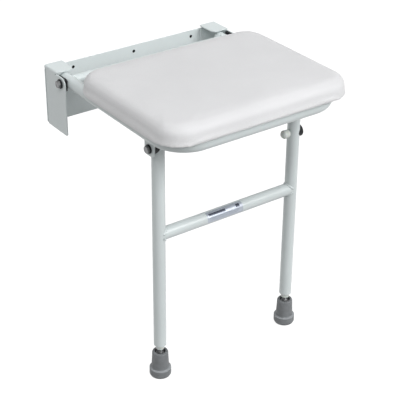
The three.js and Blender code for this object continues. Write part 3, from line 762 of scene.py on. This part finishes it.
def hex_bolt(side, node, y, z, threaded, turn):
    """Hexagon bolt along X in the place of a CAD bolt on the right, or in its mirror place."""
    low, high = extent(node)
    head = high[0] - HEX_HEIGHT
    length = head - low[0]
    start = -length + 0.8
    profile = [(0, -length), (M8_RADIUS - 0.9, -length)]
    profile += thread(M8_RADIUS, M8_PITCH, start, start + threaded)
    profile += [(M8_RADIUS, start + threaded + 0.8), (M8_RADIUS, 0)]
    profile += hex_rings(M8_FLATS, 0, HEX_HEIGHT, low_chamfer=False)
    profile += [(3.9, HEX_HEIGHT), (3.5, HEX_HEIGHT - 0.35), (0, HEX_HEIGHT - 0.45)]
    return moved(moved(stack(profile, BOLT_STEPS), about_z(turn)), outward(side, head, y, z))


def hex_nut(across_flats, bore, height):
    """Nut standing on height 0, with its bore countersunk at both ends."""
    hole = [(bore + 0.6, height), (bore, height - 0.6), (bore, 0.6), (bore + 0.6, 0)]
    return stack([*hex_rings(across_flats, 0, height), *hole], BOLT_STEPS, loop=True)


def pan_screw(head_radius, head_height, shank_radius, length):
    """Pan-head screw pointing up from height 0, with a cross recess in its head."""
    head = fillet([
        (0, -head_height), (head_radius * 0.62, -head_height, 2.2),
        (head_radius, -head_height * 0.45, 1.2), (head_radius, 0, 0.3), (shank_radius, 0)], closed=False)
    body = stack([*head, *thread(shank_radius, SCREW_PITCH, 1.2, length - 2), (0, length)], BOLT_STEPS)
    arms = []
    for turn in (0, 90):
        arm = plate([rectangle(-2.7, -0.55, 2.7, 0.55, 0.2)], 2.2, 0.15, 1)
        arms.append(moved(arm, upright(0, 0, -head_height - 0.4) @ about_z(turn)))
    return carve(body, *arms)


# ------ seat frame

WELD = 1.5


def seat_tube():
    """One bent tube: two side tubes joined by the front rail."""
    front_rail = tube_low[1] + TUBE_RADIUS
    stations = [((-SEAT_HALF_SPAN, tube_high[1]), (0, -1))]
    for side in (-1, 1):
        first = math.pi if side < 0 else 1.5 * math.pi
        for angle in np.linspace(first, first + math.pi / 2, 15):
            c, s = math.cos(angle), math.sin(angle)
            x = side * (SEAT_HALF_SPAN - FRAME_CORNER) + FRAME_CORNER * c
            stations.append(((x, front_rail + FRAME_CORNER * (1 + s)), (-s, c)))
    stations.append(((SEAT_HALF_SPAN, tube_high[1]), (0, 1)))
    angles = np.linspace(0, 2 * np.pi, 48, endpoint=False)

    def rings(radius):
        made = []
        for (x, y), (tx, ty) in stations:
            across, up = radius * np.cos(angles), radius * np.sin(angles)
            made.append(np.stack([x + across * ty, y - across * tx, SEAT_AXIS + up], -1))
        return made

    tube = skin([*rings(TUBE_RADIUS), *reversed(rings(BORE_RADIUS))], loop=True)
    pivots = [outward(side, SEAT_HALF_SPAN, PIVOT_Y, SEAT_AXIS) for side in SIDES.values()]
    return carve(tube, *[moved(drill(BOLT_HOLE, -THROUGH, THROUGH), pivot) for pivot in pivots])


def coped_tube(radius, bore, half_length, across_x):
    """Tube along its own Z, from -half_length to half_length, with ends that fit round frame tubes."""
    share = np.cos if across_x else np.sin
    fitted = TUBE_RADIUS - SNUG

    def end(r, sign):
        return lambda a: sign * (half_length - np.sqrt(np.maximum(fitted**2 - (r * share(a))**2, 0)))

    ends = [(radius, -1), (radius, 1), (bore, 1), (bore, -1)]
    return stack([(r, end(r, sign)) for r, sign in ends], 64, loop=True)


def weld_ring(side, centre, radius, across_x, bead=WELD, proud=0.4, ripple=0.10):
    """Bead where a cross tube of this radius meets a tube that runs along Z or, if not across_x, Y.

    It stands proud of the corner by a share of the bead, or is sunk into it if that is negative.
    """
    x, y, z = centre
    angles = np.linspace(0, 2 * np.pi, 120, endpoint=False)
    c, s = np.cos(angles), np.sin(angles)
    reach = np.sqrt((TUBE_RADIUS + proud * bead)**2 - (radius * (c if across_x else s))**2)
    around = radius + proud * bead / 2
    path = np.stack([side * (x - reach), y + around * c, z + around * s], -1)
    size = bead * (1 + ripple * (np.sin(34 * angles) + 0.7 * np.sin(9 * angles + side)))
    outwards = path - np.array([0, y, z])
    outwards[:, 0] = 0
    return rod(path, outwards, size, 12, closed=True)


def weld_line(x, z, y_low, y_high, size, seed):
    """Straight bead along Y that tapers at its ends."""
    share = np.linspace(0, 1, 60)
    path = np.stack([np.full(60, x), y_low + share * (y_high - y_low), np.full(60, z)], -1)
    taper = np.clip(np.minimum(share, 1 - share) * 14, 0.25, 1)
    sizes = size * taper * (1 + 0.10 * np.sin(80 * share + seed) + 0.05 * np.sin(23 * share))
    return rod(path, (0, 0, 1), sizes, 12)


def leg_lug(side):
    low, high = extent("right_leg_lug")
    rim = rectangle(low[1], low[2], high[1], high[2] + 0.7, 8, 0.6)
    lug = plate([rim, circle(LEG_Y, LEG_HINGE, BOLT_HOLE)], high[0] - low[0])
    return moved(lug, facing_aside(low[0] if side > 0 else -high[0]))


def lug_welds(side):
    low, high = extent("right_leg_lug")
    return joined(
        weld_line(side * (low[0] - 0.4), high[2] + 1.3, low[1] + 1, high[1] - 1, 1.9, 1),
        weld_line(side * (high[0] + 0.9), high[2] - 0.7, low[1] + 1, high[1] - 1, 1.4, 2))


def domed_plug(rise, dome):
    """Plug for a tube's end, with its stem below height 0 and a rounded head above."""
    stem, head = BORE_RADIUS - CLEARANCE, TUBE_RADIUS - CLEARANCE
    return turned([
        (0, -10), (stem, -10, 0.8), (stem, 0.1), (head, 0.1, 0.3), (head - 0.1, rise * 0.5, dome),
        (head * 0.55, rise), (0, rise + 0.2)], step=12)


def rail_insert(side):
    low, high = extent("right_rail_insert")
    bore, radius = M8_RADIUS + CLEARANCE, RAIL_BORE - CLEARANCE
    insert = turned([
        (bore, low[0], 0.3), (radius, low[0], 0.8), (radius, high[0], 0.4), (bore, high[0], 0.3)],
        48, closed=True, step=30)
    return moved(insert, outward(side, 0, PIVOT_Y, SEAT_AXIS))


def tube_plug(side):
    place = (side * SEAT_HALF_SPAN, tube_high[1], SEAT_AXIS)
    return moved(domed_plug(3.6, 2.6), axes(place, (1, 0, 0), (0, 0, -1), (0, 1, 0)))


def pad_strap(node):
    low, high = extent(node)
    y = (low[1] + high[1]) / 2
    rim = rectangle(low[0], low[1], high[0], high[1], 1.5)
    holes = [circle(side * middle("pad_screw_2")[0], y, SCREW_SHANK + 0.4) for side in SIDES.values()]
    strap = plate([rim, *holes], high[2] - low[2], 0.5)
    return moved(strap, upright(0, 0, low[2]))


rail_low, rail_high = extent("rear_cross_rail")
RAIL_RADIUS = (rail_high[2] - rail_low[2]) / 2
RAIL_BORE = RAIL_RADIUS - 2
rail = coped_tube(RAIL_RADIUS, RAIL_BORE, SEAT_HALF_SPAN, across_x=False)

publish("bent_seat_tube", seat_tube(), "seat", "frame_paint", "seat_tube")
publish("coped_cross_rail", moved(rail, outward(1, 0, PIVOT_Y, SEAT_AXIS)), "seat", "frame_paint",
        "rear_cross_rail")
for name, side in SIDES.items():
    weld = weld_ring(side, (SEAT_HALF_SPAN, PIVOT_Y, SEAT_AXIS), RAIL_RADIUS, across_x=False)
    pivot_bolt = hex_bolt(side, "right_pivot_bolt", PIVOT_Y, SEAT_AXIS, threaded=24, turn=15 * side)
    publish_side(name, "seat", [
        ("cross_rail_weld", weld, "frame_paint"),
        ("threaded_insert", rail_insert(side), "zinc", "rail_insert"),
        ("pivot_hex_bolt", pivot_bolt, "zinc", "pivot_bolt"),
        ("tube_plug", tube_plug(side), "white_plastic", "tube_end_plug"),
        ("hinge_lug", leg_lug(side), "frame_paint", "leg_lug"),
        ("lug_welds", lug_welds(side), "frame_paint")])

for node in ("rear_pad_strap", "front_pad_strap"):
    publish(f"{node}_bar", pad_strap(node), "seat", "frame_paint", node)

# ------ board, pad and its screws


def pad_outline(inwards):
    left, front, _ = pad_low + inwards
    right, rear, _ = pad_high - inwards
    return rectangle(left, front, right, rear, PAD_FRONT_CORNER - inwards, PAD_REAR_CORNER - inwards)


def seat_board():
    low, high = extent("seat_board")
    holes = [circle(*middle(f"pad_screw_{k}")[:2], SCREW_SHANK + 0.2, 20) for k in (1, 2, 3, 4)]
    return moved(plate([pad_outline(BOARD_INSET), *holes], high[2] - low[2], 1.0), upright(0, 0, low[2]))


PAD_MIDDLE = (pad_low + pad_high) / 2
PAD_HALF = (pad_high - pad_low) / 2
PAD_TOP_ROUND = 17
PAD_LOW_ROUND = 1.3
PAD_LEAN = 4.5  # how far the sides lean in
PAD_SLACK = 1.2  # room left under the CAD pad's top for the crown and the swelling
PAD_SKIRT = 6  # depth below the pad that is cut off again
PAD_CROWN = 1.6
PAD_SWELL = 1.2  # furthest that any point may swell
PAD_VOXEL = 4.5
PAD_HELD = 4  # height of the lower edge that doesn't swell
PAD_TRIMS = (4.5, 3, 1.6, 1.0, 0.55, 0.2, 0)  # heights of new edges near the lower one; the last is the cut
CLOTH_FRAMES = 20


def plan_distance(points):
    """How far points lie outside the pad's outline, seen from above."""
    away = points - PAD_MIDDLE
    corner = np.where(away[:, 1] < 0, PAD_FRONT_CORNER, PAD_REAR_CORNER)
    over = np.abs(away[:, :2]) - PAD_HALF[:2] + corner[:, None]
    return np.linalg.norm(np.maximum(over, 0), axis=1) + np.minimum(over.max(1), 0) - corner


def pad_field(points):
    """Signed distance to the mould: sides that lean in, a soft top edge and a skirt, cut off later."""
    top = pad_high[2] - PAD_SLACK
    lean = PAD_LEAN * np.clip((points[:, 2] - pad_low[2]) / (top - pad_low[2]), 0, 1)**1.5
    side = np.stack([plan_distance(points) + lean, points[:, 2] - top], -1) + PAD_TOP_ROUND
    upper = np.linalg.norm(np.maximum(side, 0), axis=1) + np.minimum(side.max(1), 0) - PAD_TOP_ROUND
    return np.maximum(upper, pad_low[2] - PAD_SKIRT - points[:, 2])


def slope_of(field, points, directions):
    here = field(points)
    return np.stack([(field(points + 0.05 * step) - here) / 0.05 for step in directions], -1)


def onto_pad_form(points):
    """Points moved on to the moulded form along its distance field."""
    for _ in range(4):
        slope = slope_of(pad_field, points, np.eye(3))
        slope /= np.maximum(np.linalg.norm(slope, axis=1, keepdims=True), 1e-6)
        points = points - pad_field(points)[:, None] * slope
    return points


def swollen(points, mesh):
    """The form after the foam has risen in its skin, held along its lower edge."""
    form = placed("swelling", mesh.copy())
    held = form.vertex_groups.new(name="held")
    low = points[:, 2] < pad_low[2] + PAD_HELD
    held.add([int(i) for i in np.flatnonzero(low)], 1.0, "REPLACE")
    cloth = form.modifiers.new("cloth", "CLOTH")
    cloth.settings.effector_weights.gravity = 0
    settings = {"vertex_group_mass": "held", "use_pressure": True, "uniform_pressure_force": 4,
                "tension_stiffness": 25, "compression_stiffness": 25, "bending_stiffness": 4}
    for key, value in settings.items():
        setattr(cloth.settings, key, value)
    cloth.point_cache.frame_start, cloth.point_cache.frame_end = 1, CLOTH_FRAMES
    for number in range(1, CLOTH_FRAMES + 1):
        bpy.context.scene.frame_set(number)
    shown = form.evaluated_get(bpy.context.evaluated_depsgraph_get()).data
    moved_to = np.zeros(len(shown.vertices) * 3)
    shown.vertices.foreach_get("co", moved_to)
    bpy.context.scene.frame_set(1)
    discard(form)
    move = moved_to.reshape(-1, 3) / MM - points
    length = np.linalg.norm(move, axis=1, keepdims=True)
    return points + move * PAD_SWELL / np.maximum(length, PAD_SWELL)


def crowned(points):
    """A gentle crown on the top, which fades out towards the edges and the underside."""
    share = np.clip((points - PAD_MIDDLE) / PAD_HALF, -1, 1)
    rise = (1 - share[:, 0]**2) * (1 - share[:, 1]**2) * ((share[:, 2] + 1) / 2)
    return points + np.outer(rise, (0, 0, PAD_CROWN))


def trimmed(bm):
    """The pad cut off level at its lower edge, which is then slightly rounded."""
    for height in PAD_TRIMS:
        sliced(bm, (0, 0, pad_low[2] + height), (0, 0, 1), clear=height == 0)
    bmesh.ops.holes_fill(bm, edges=[edge for edge in bm.edges if edge.is_boundary], sides=0)
    rounded = [vert for vert in bm.verts if vert.co.z < pad_low[2] + PAD_LOW_ROUND]
    points = np.array([vert.co for vert in rounded])
    outwards = slope_of(plan_distance, points, np.eye(3)[:2])
    drop = PAD_LOW_ROUND - (points[:, 2] - pad_low[2])
    inwards = PAD_LOW_ROUND - np.sqrt(np.maximum(PAD_LOW_ROUND**2 - drop**2, 0))
    for vert, direction, distance in zip(rounded, outwards, inwards):
        vert.co.xy -= Vector(direction) * distance
    return bm


def foam_pad():
    """The moulded pad: remeshed, laid on its mould, swollen, smoothed and hollowed for the board."""
    bottom, shy = pad_low[2] - PAD_SKIRT, 3
    start = plate([pad_outline(shy)], pad_high[2] - bottom - shy, 6, 4)
    blank = temporary(moved(start, upright(0, 0, bottom + 1)))
    remesh = blank.modifiers.new("remesh", "REMESH")
    remesh.mode = "VOXEL"
    remesh.voxel_size = PAD_VOXEL
    bm = evaluated(blank)
    points = onto_pad_form(np.array([vert.co for vert in bm.verts]))
    mesh = as_mesh("pad_form", bm)
    mesh.vertices.foreach_set("co", (points * MM).ravel())
    points = swollen(points, mesh)
    mesh.vertices.foreach_set("co", crowned(points).ravel())
    form = placed("pad_form", mesh)
    smooth = form.modifiers.new("subdivide", "SUBSURF")
    smooth.levels = smooth.render_levels = 1
    whole = trimmed(evaluated(form))
    board_high = extent("seat_board")[1]
    gap, below = 0.3, 4
    pocket = plate([pad_outline(BOARD_INSET - gap)], board_high[2] - pad_low[2] + below, 0.8)
    return carve(whole, moved(pocket, upright(0, 0, pad_low[2] - below + gap)))


publish("seat_board_shell", seat_board(), "seat", "board_grey", "seat_board")
pad = publish("seat_pad_foam", foam_pad(), "seat", "pad_skin", "seat_pad")

for k in (1, 2, 3, 4):
    low, high = extent(f"pad_screw_{k}")
    x, y, _ = (low + high) / 2
    screw = pan_screw(SCREW_HEAD_RADIUS, SCREW_HEAD, SCREW_SHANK, high[2] - low[2] - SCREW_HEAD)
    screw = moved(screw, upright(x, y, low[2] + SCREW_HEAD))
    publish(f"pan_screw_{k}", screw, "seat", "zinc", f"pad_screw_{k}")

# ------ leg frame

LEG_TOP = leg_high[2]
LEG_BOTTOM = leg_low[2]
LABEL_STRIPS = 24
GUIDE_HOLE = 6


def leg_tube(side):
    height, rim = LEG_TOP - LEG_BOTTOM, 0.3
    tube = stack([
        (BORE_RADIUS, 0), (TUBE_RADIUS - rim, 0), (TUBE_RADIUS, rim), (TUBE_RADIUS, height - rim),
        (TUBE_RADIUS - rim, height), (BORE_RADIUS, height)], 64, loop=True)
    holes = [(BOLT_HOLE, -THROUGH, THROUGH, LEG_HINGE)]
    if side > 0:
        holes += [(BOLT_HOLE, -THROUGH, 0.5, PLUNGER_HEIGHT), (GUIDE_HOLE, 0, THROUGH, PLUNGER_HEIGHT)]
    drills = [moved(drill(radius, start, end), outward(side, LEG_X, LEG_Y, z))
              for radius, start, end, z in holes]
    return carve(moved(tube, upright(side * LEG_X, LEG_Y, LEG_BOTTOM)), *drills)


def label():
    """Foil label bent round the front of the crossbar."""
    low, high = extent("crossbar_label")
    first, last = 0.52 * math.pi, 1.12 * math.pi
    radius = TUBE_RADIUS + 0.03
    wrap = (last - first) * radius
    sheet = plate([rectangle(low[0], 0, high[0], wrap, 2.5)], 0.18, 0.05, 1)
    for k in range(1, LABEL_STRIPS):
        sliced(sheet, (0, wrap * k / LABEL_STRIPS, 0), (0, 1, 0))
    for vert in sheet.verts:
        x, along, depth = vert.co
        angle = first + along / radius
        reach = radius + depth
        vert.co = (x, LEG_Y + reach * math.cos(angle), CROSSBAR_HEIGHT + reach * math.sin(angle))
    bmesh.ops.recalc_face_normals(sheet, faces=sheet.faces)
    return sheet


def saddle_bush(node, barrel=None):
    """Bush along +Z from a leg's centre line, as long as a CAD bush and hollowed to sit on the leg.

    A barrel, given by its radius, goes on into the leg as far as the CAD bush does.
    """
    low, high = extent(node)
    radius, length, clear_of_leg = (high[1] - low[1]) / 2, high[0] - LEG_X, 14

    def seat(r):
        return lambda a: np.sqrt((TUBE_RADIUS + 0.08)**2 - (r * np.cos(a))**2)

    outside = fillet([(radius, clear_of_leg), (radius, length, 0.9), (BOLT_HOLE, length, 0.4),
                      (BOLT_HOLE, clear_of_leg)], closed=False)
    profile = [(radius, seat(radius)), *outside]
    if barrel:
        start = low[0] - LEG_X
        profile += [(BOLT_HOLE, start), (barrel, start), (barrel, seat(barrel))]
    else:
        profile.append((BOLT_HOLE, seat(BOLT_HOLE)))
    return stack(profile, 64, loop=True)


def end_insert():
    """Threaded insert: a lip and a narrower collar below the tube, and a spigot inside it."""
    bore, spigot = M10_RADIUS + 2 * CLEARANCE, BORE_RADIUS - CLEARANCE
    low = extent("right_leg_end_insert")[0][2] - LEG_BOTTOM
    return turned([
        (bore, low, 0.4), (8.2, low, 1.4), (8.4, -2.4, 0.6), (11.2, -1.6, 0.8), (11.2, -0.05),
        (spigot, -0.05), (spigot, 26, 0.6), (bore, 26, 0.4)], closed=True)


def hinge_nut(side):
    nut = hex_nut(M8_FLATS, M8_RADIUS + CLEARANCE, HINGE_NUT_HEIGHT)
    place = outward(side, extent("right_hinge_nut")[0][0], LEG_Y, LEG_HINGE)
    return moved(moved(nut, Matrix.Rotation(0.4, 4, "Z")), place)


bar = coped_tube(TUBE_RADIUS, BORE_RADIUS, LEG_X, across_x=True)
publish("coped_crossbar", moved(bar, outward(1, 0, LEG_Y, CROSSBAR_HEIGHT)), "leg_frame", "frame_paint",
        "crossbar")
publish("foil_label", label(), "leg_frame", "label_foil", "crossbar_label")

for name, side in SIDES.items():
    weld = weld_ring(side, (LEG_X, LEG_Y, CROSSBAR_HEIGHT), TUBE_RADIUS, across_x=True, bead=2.8,
                     proud=-0.2, ripple=0.04)
    bush = moved(saddle_bush("right_leg_saddle"), outward(side, LEG_X, LEG_Y, LEG_HINGE))
    plug = moved(domed_plug(2.5, 1.6), upright(side * LEG_X, LEG_Y, LEG_TOP))
    collar = moved(end_insert(), upright(side * LEG_X, LEG_Y, LEG_BOTTOM))
    ring = washer(side, "right_hinge_washer", LEG_Y, LEG_HINGE, M8_RADIUS + 2 * CLEARANCE)
    hinge_bolt = hex_bolt(side, "right_hinge_bolt", LEG_Y, LEG_HINGE, threaded=14, turn=20)
    publish_side(name, "leg_frame", [
        ("leg_pipe", leg_tube(side), "frame_paint", "leg_tube"),
        ("crossbar_weld", weld, "frame_paint"),
        ("saddle_bush", bush, "black_nylon", "leg_saddle"),
        ("leg_plug", plug, "black_nylon", "leg_top_plug"),
        ("end_collar", collar, "white_plastic", "leg_end_insert"),
        ("hinge_ring", ring, "black_nylon", "hinge_washer"),
        ("hinge_hex_bolt", hinge_bolt, "zinc", "hinge_bolt"),
        ("hinge_hex_nut", hinge_nut(side), "zinc", "hinge_nut")])

# ------ pull knob

knob_low, knob_high = extent("plunger_knob")
spring_low, spring_high = extent("plunger_spring")


def knob():
    """Pull knob with its outer face at the top and a bore for the pin below."""
    radius, length = (knob_high[2] - knob_low[2]) / 2 - 0.4, knob_high[0] - knob_low[0]
    bore, depth = M8_RADIUS + CLEARANCE, length - 4.7
    return turned([
        (0, length + 0.35), (radius - 3.6, length + 0.1, 4), (radius, length - 4, 4),
        (radius, length - 9, 12), (radius - 0.9, 0, 0.7), (bore, 0, 0.3), (bore, depth), (0, depth)],
        step=12)


def plunger_pin():
    low, high = extent("plunger_pin")
    length, collar_radius = high[0] - low[0], (high[2] - low[2]) / 2
    collar = spring_high[0] + 0.3 - low[0]
    pin = turned([
        (0, 0), (M8_RADIUS, 0, 0.6), (M8_RADIUS, collar), (collar_radius, collar, 0.3),
        (collar_radius, collar + 2, 0.3), (M8_RADIUS, collar + 2), (M8_RADIUS, length - 2.4, 0.8),
        (M8_RADIUS - 1.3, length, 1.2), (0, length + 0.05)], 48)
    return moved(pin, outward(1, low[0], LEG_Y, PLUNGER_HEIGHT))


def plunger_spring():
    wire, turns, radius = 0.6, 4, 5.3
    share = np.linspace(0, 1, turns * 28 + 1)
    angles = share * turns * 2 * np.pi
    length = spring_high[0] - spring_low[0] - 2 * wire
    path = np.stack([spring_low[0] + wire + share * length, LEG_Y + radius * np.cos(angles),
                     PLUNGER_HEIGHT + radius * np.sin(angles)], -1)
    return rod(path, (1, 0, 0), wire, 10)


guide = saddle_bush("plunger_bush", barrel=GUIDE_HOLE - 0.3)
guide = moved(guide, outward(1, LEG_X, LEG_Y, PLUNGER_HEIGHT))
grip = moved(knob(), outward(-1, -knob_high[0], LEG_Y, PLUNGER_HEIGHT))
publish("plunger_guide", guide, "leg_frame", "black_nylon", "plunger_bush")
publish("plunger_rod", plunger_pin(), "plunger", "zinc", "plunger_pin")
publish("pull_knob", grip, "plunger", "white_plastic", "plunger_knob")
spring = publish("coil_spring", plunger_spring(), "leg_frame", "zinc", "plunger_spring")
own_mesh(spring)

# ------ adjustable feet


def ferrule():
    """Rubber ferrule: flared base with a grooved sole, a step and a slightly tapered body."""
    bore, top = 10.5, extent("left_ferrule")[1][2]
    return turned([
        (0, 1.0), (5.0, 1.0), (5.6, 0.0), (8.4, 0.0), (9.0, 1.2), (11.0, 1.2), (11.6, 0.0), (14.2, 0.0),
        (14.8, 1.2), (16.6, 1.2), (17.2, 0.0), (19.6, 0.0, 1.0), (21.7, 4.0, 3.0),
        (21.6, FERRULE_LEDGE, 0.5), (18.2, 18.6, 1.0), (17.5, 21.4, 1.2), (16.0, top - 2.4, 1.4),
        (14.8, top, 0.8), (11.1, top, 0.5), (bore, top - 0.8, 0.5), (bore, 14), (0, 14)], 72, step=12)


def foot_core():
    low, high = extent("right_foot_core")
    height, radius, bore = high[2] - low[2], 10.4, M10_RADIUS + 2 * CLEARANCE
    core = turned([
        (0, 0), (radius, 0, 0.8), (radius, height, 0.8), (bore, height, 0.3), (bore, 2.6), (0, 2.6)])
    return moved(core, upright(0, 0, low[2]))


def foot_stem():
    low, high = extent("right_foot_stem")
    core = M10_RADIUS - 1
    turns = thread(M10_RADIUS, M10_PITCH, low[2] + 1, high[2] - 1)
    return stack([(0, low[2]), (core, low[2]), *turns, (core, high[2]), (0, high[2])], 32)


def locknut():
    low, high = extent("right_foot_locknut")
    nut = hex_nut(M10_FLATS, M10_RADIUS + CLEARANCE, high[2] - low[2])
    return moved(nut, upright(0, 0, low[2]) @ Matrix.Rotation(0.3, 4, "Z"))


for name, side in SIDES.items():
    under_leg = upright(side * LEG_X, LEG_Y)
    publish_side(name, f"{name}_foot", [
        ("rubber_ferrule", moved(ferrule(), under_leg), "grey_rubber", "ferrule"),
        ("foot_nylon_core", moved(foot_core(), under_leg), "black_nylon", "foot_core"),
        ("foot_threaded_stem", moved(foot_stem(), under_leg), "zinc", "foot_stem"),
        ("foot_hex_locknut", moved(locknut(), under_leg), "zinc", "foot_locknut")])

# ------ floor, light and camera

FLOOR_REACH = 12
FLOOR_DROP = 0.0002  # keeps the floor just clear of the soles


def floor():
    bm = bmesh.new()
    bmesh.ops.create_grid(bm, x_segments=1, y_segments=1, size=FLOOR_REACH)
    obj = placed("floor", as_mesh("floor", bm))
    obj.location = GROUND - Vector((0, 0, FLOOR_DROP))
    look = Look("pale_floor", (0.2, 0.2, 0.2), 0.9, Emission_Color=(1, 1, 1, 1), Emission_Strength=0.9)
    obj.data.materials.append(look.finished(look.mottled(look.patches(3, 2), 0.95, 1.05)))
    obj.visible_diffuse = False
    obj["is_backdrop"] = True


def soft_light(name, direction, distance, size, power):
    """Round soft light that faces the seat from a direction."""
    data = bpy.data.lights.new(name, "AREA")
    data.shape = "DISK"
    data.size = size
    data.energy = power
    lamp = placed(name, data)
    seat_middle = Vector((0, -0.2, 0))
    towards = Vector(direction).normalized()
    lamp.location = seat_middle + distance * towards
    lamp.rotation_euler = (-towards).to_track_quat("-Z", "Y").to_euler()


def room_light(below, above):
    """A pale surround, a little weaker from below, that the camera sees as white."""
    world = bpy.data.worlds.new("room")
    world.use_nodes = True
    bpy.context.scene.world = world
    world.node_tree.nodes.clear()
    room = Nodes(world.node_tree)
    direction = room.add("ShaderNodeTexCoord").outputs["Generated"]
    height = room.add("ShaderNodeSeparateXYZ", {"Vector": direction}).outputs["Z"]
    lit, seen = (
        room.add("ShaderNodeBackground", {"Color": (1, 1, 1, 1), "Strength": strength}).outputs[0]
        for strength in (room.spread(height, -0.3, 0.4, below, above), 1.05))
    facing = room.add("ShaderNodeLightPath").outputs["Is Camera Ray"]
    mix = room.add("ShaderNodeMixShader", {0: facing, 1: lit, 2: seen}).outputs[0]
    room.add("ShaderNodeOutputWorld", {"Surface": mix})


def camera(place, yaw, pitch, roll, lens):
    """Camera that looks along +Y turned by yaw towards +X, and down by pitch."""
    data = bpy.data.cameras.new("camera")
    data.lens = lens
    data.sensor_width = 36
    obj = placed("camera", data)
    level = Matrix.Translation(place) @ about_z(-yaw)
    obj.matrix_world = level @ Matrix.Rotation(math.radians(90 - pitch), 4, "X") @ about_z(-roll)
    bpy.context.scene.camera = obj


floor()
room_light(0.30, 0.46)
soft_light("key", (0.35, -0.75, 0.56), 6.1, 3.4, 224)
soft_light("fill", (-0.46, -0.35, 0.82), 5.0, 2.6, 69)
soft_light("top", (0.05, -0.12, 0.99), 5.0, 3.0, 42)
camera((-1.20566, -1.90688, 0.97988), yaw=35.83, pitch=29.66, roll=-0.51, lens=106.92)
bpy.context.scene.view_settings.view_transform = "Standard"

# ------ finish

low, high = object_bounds()
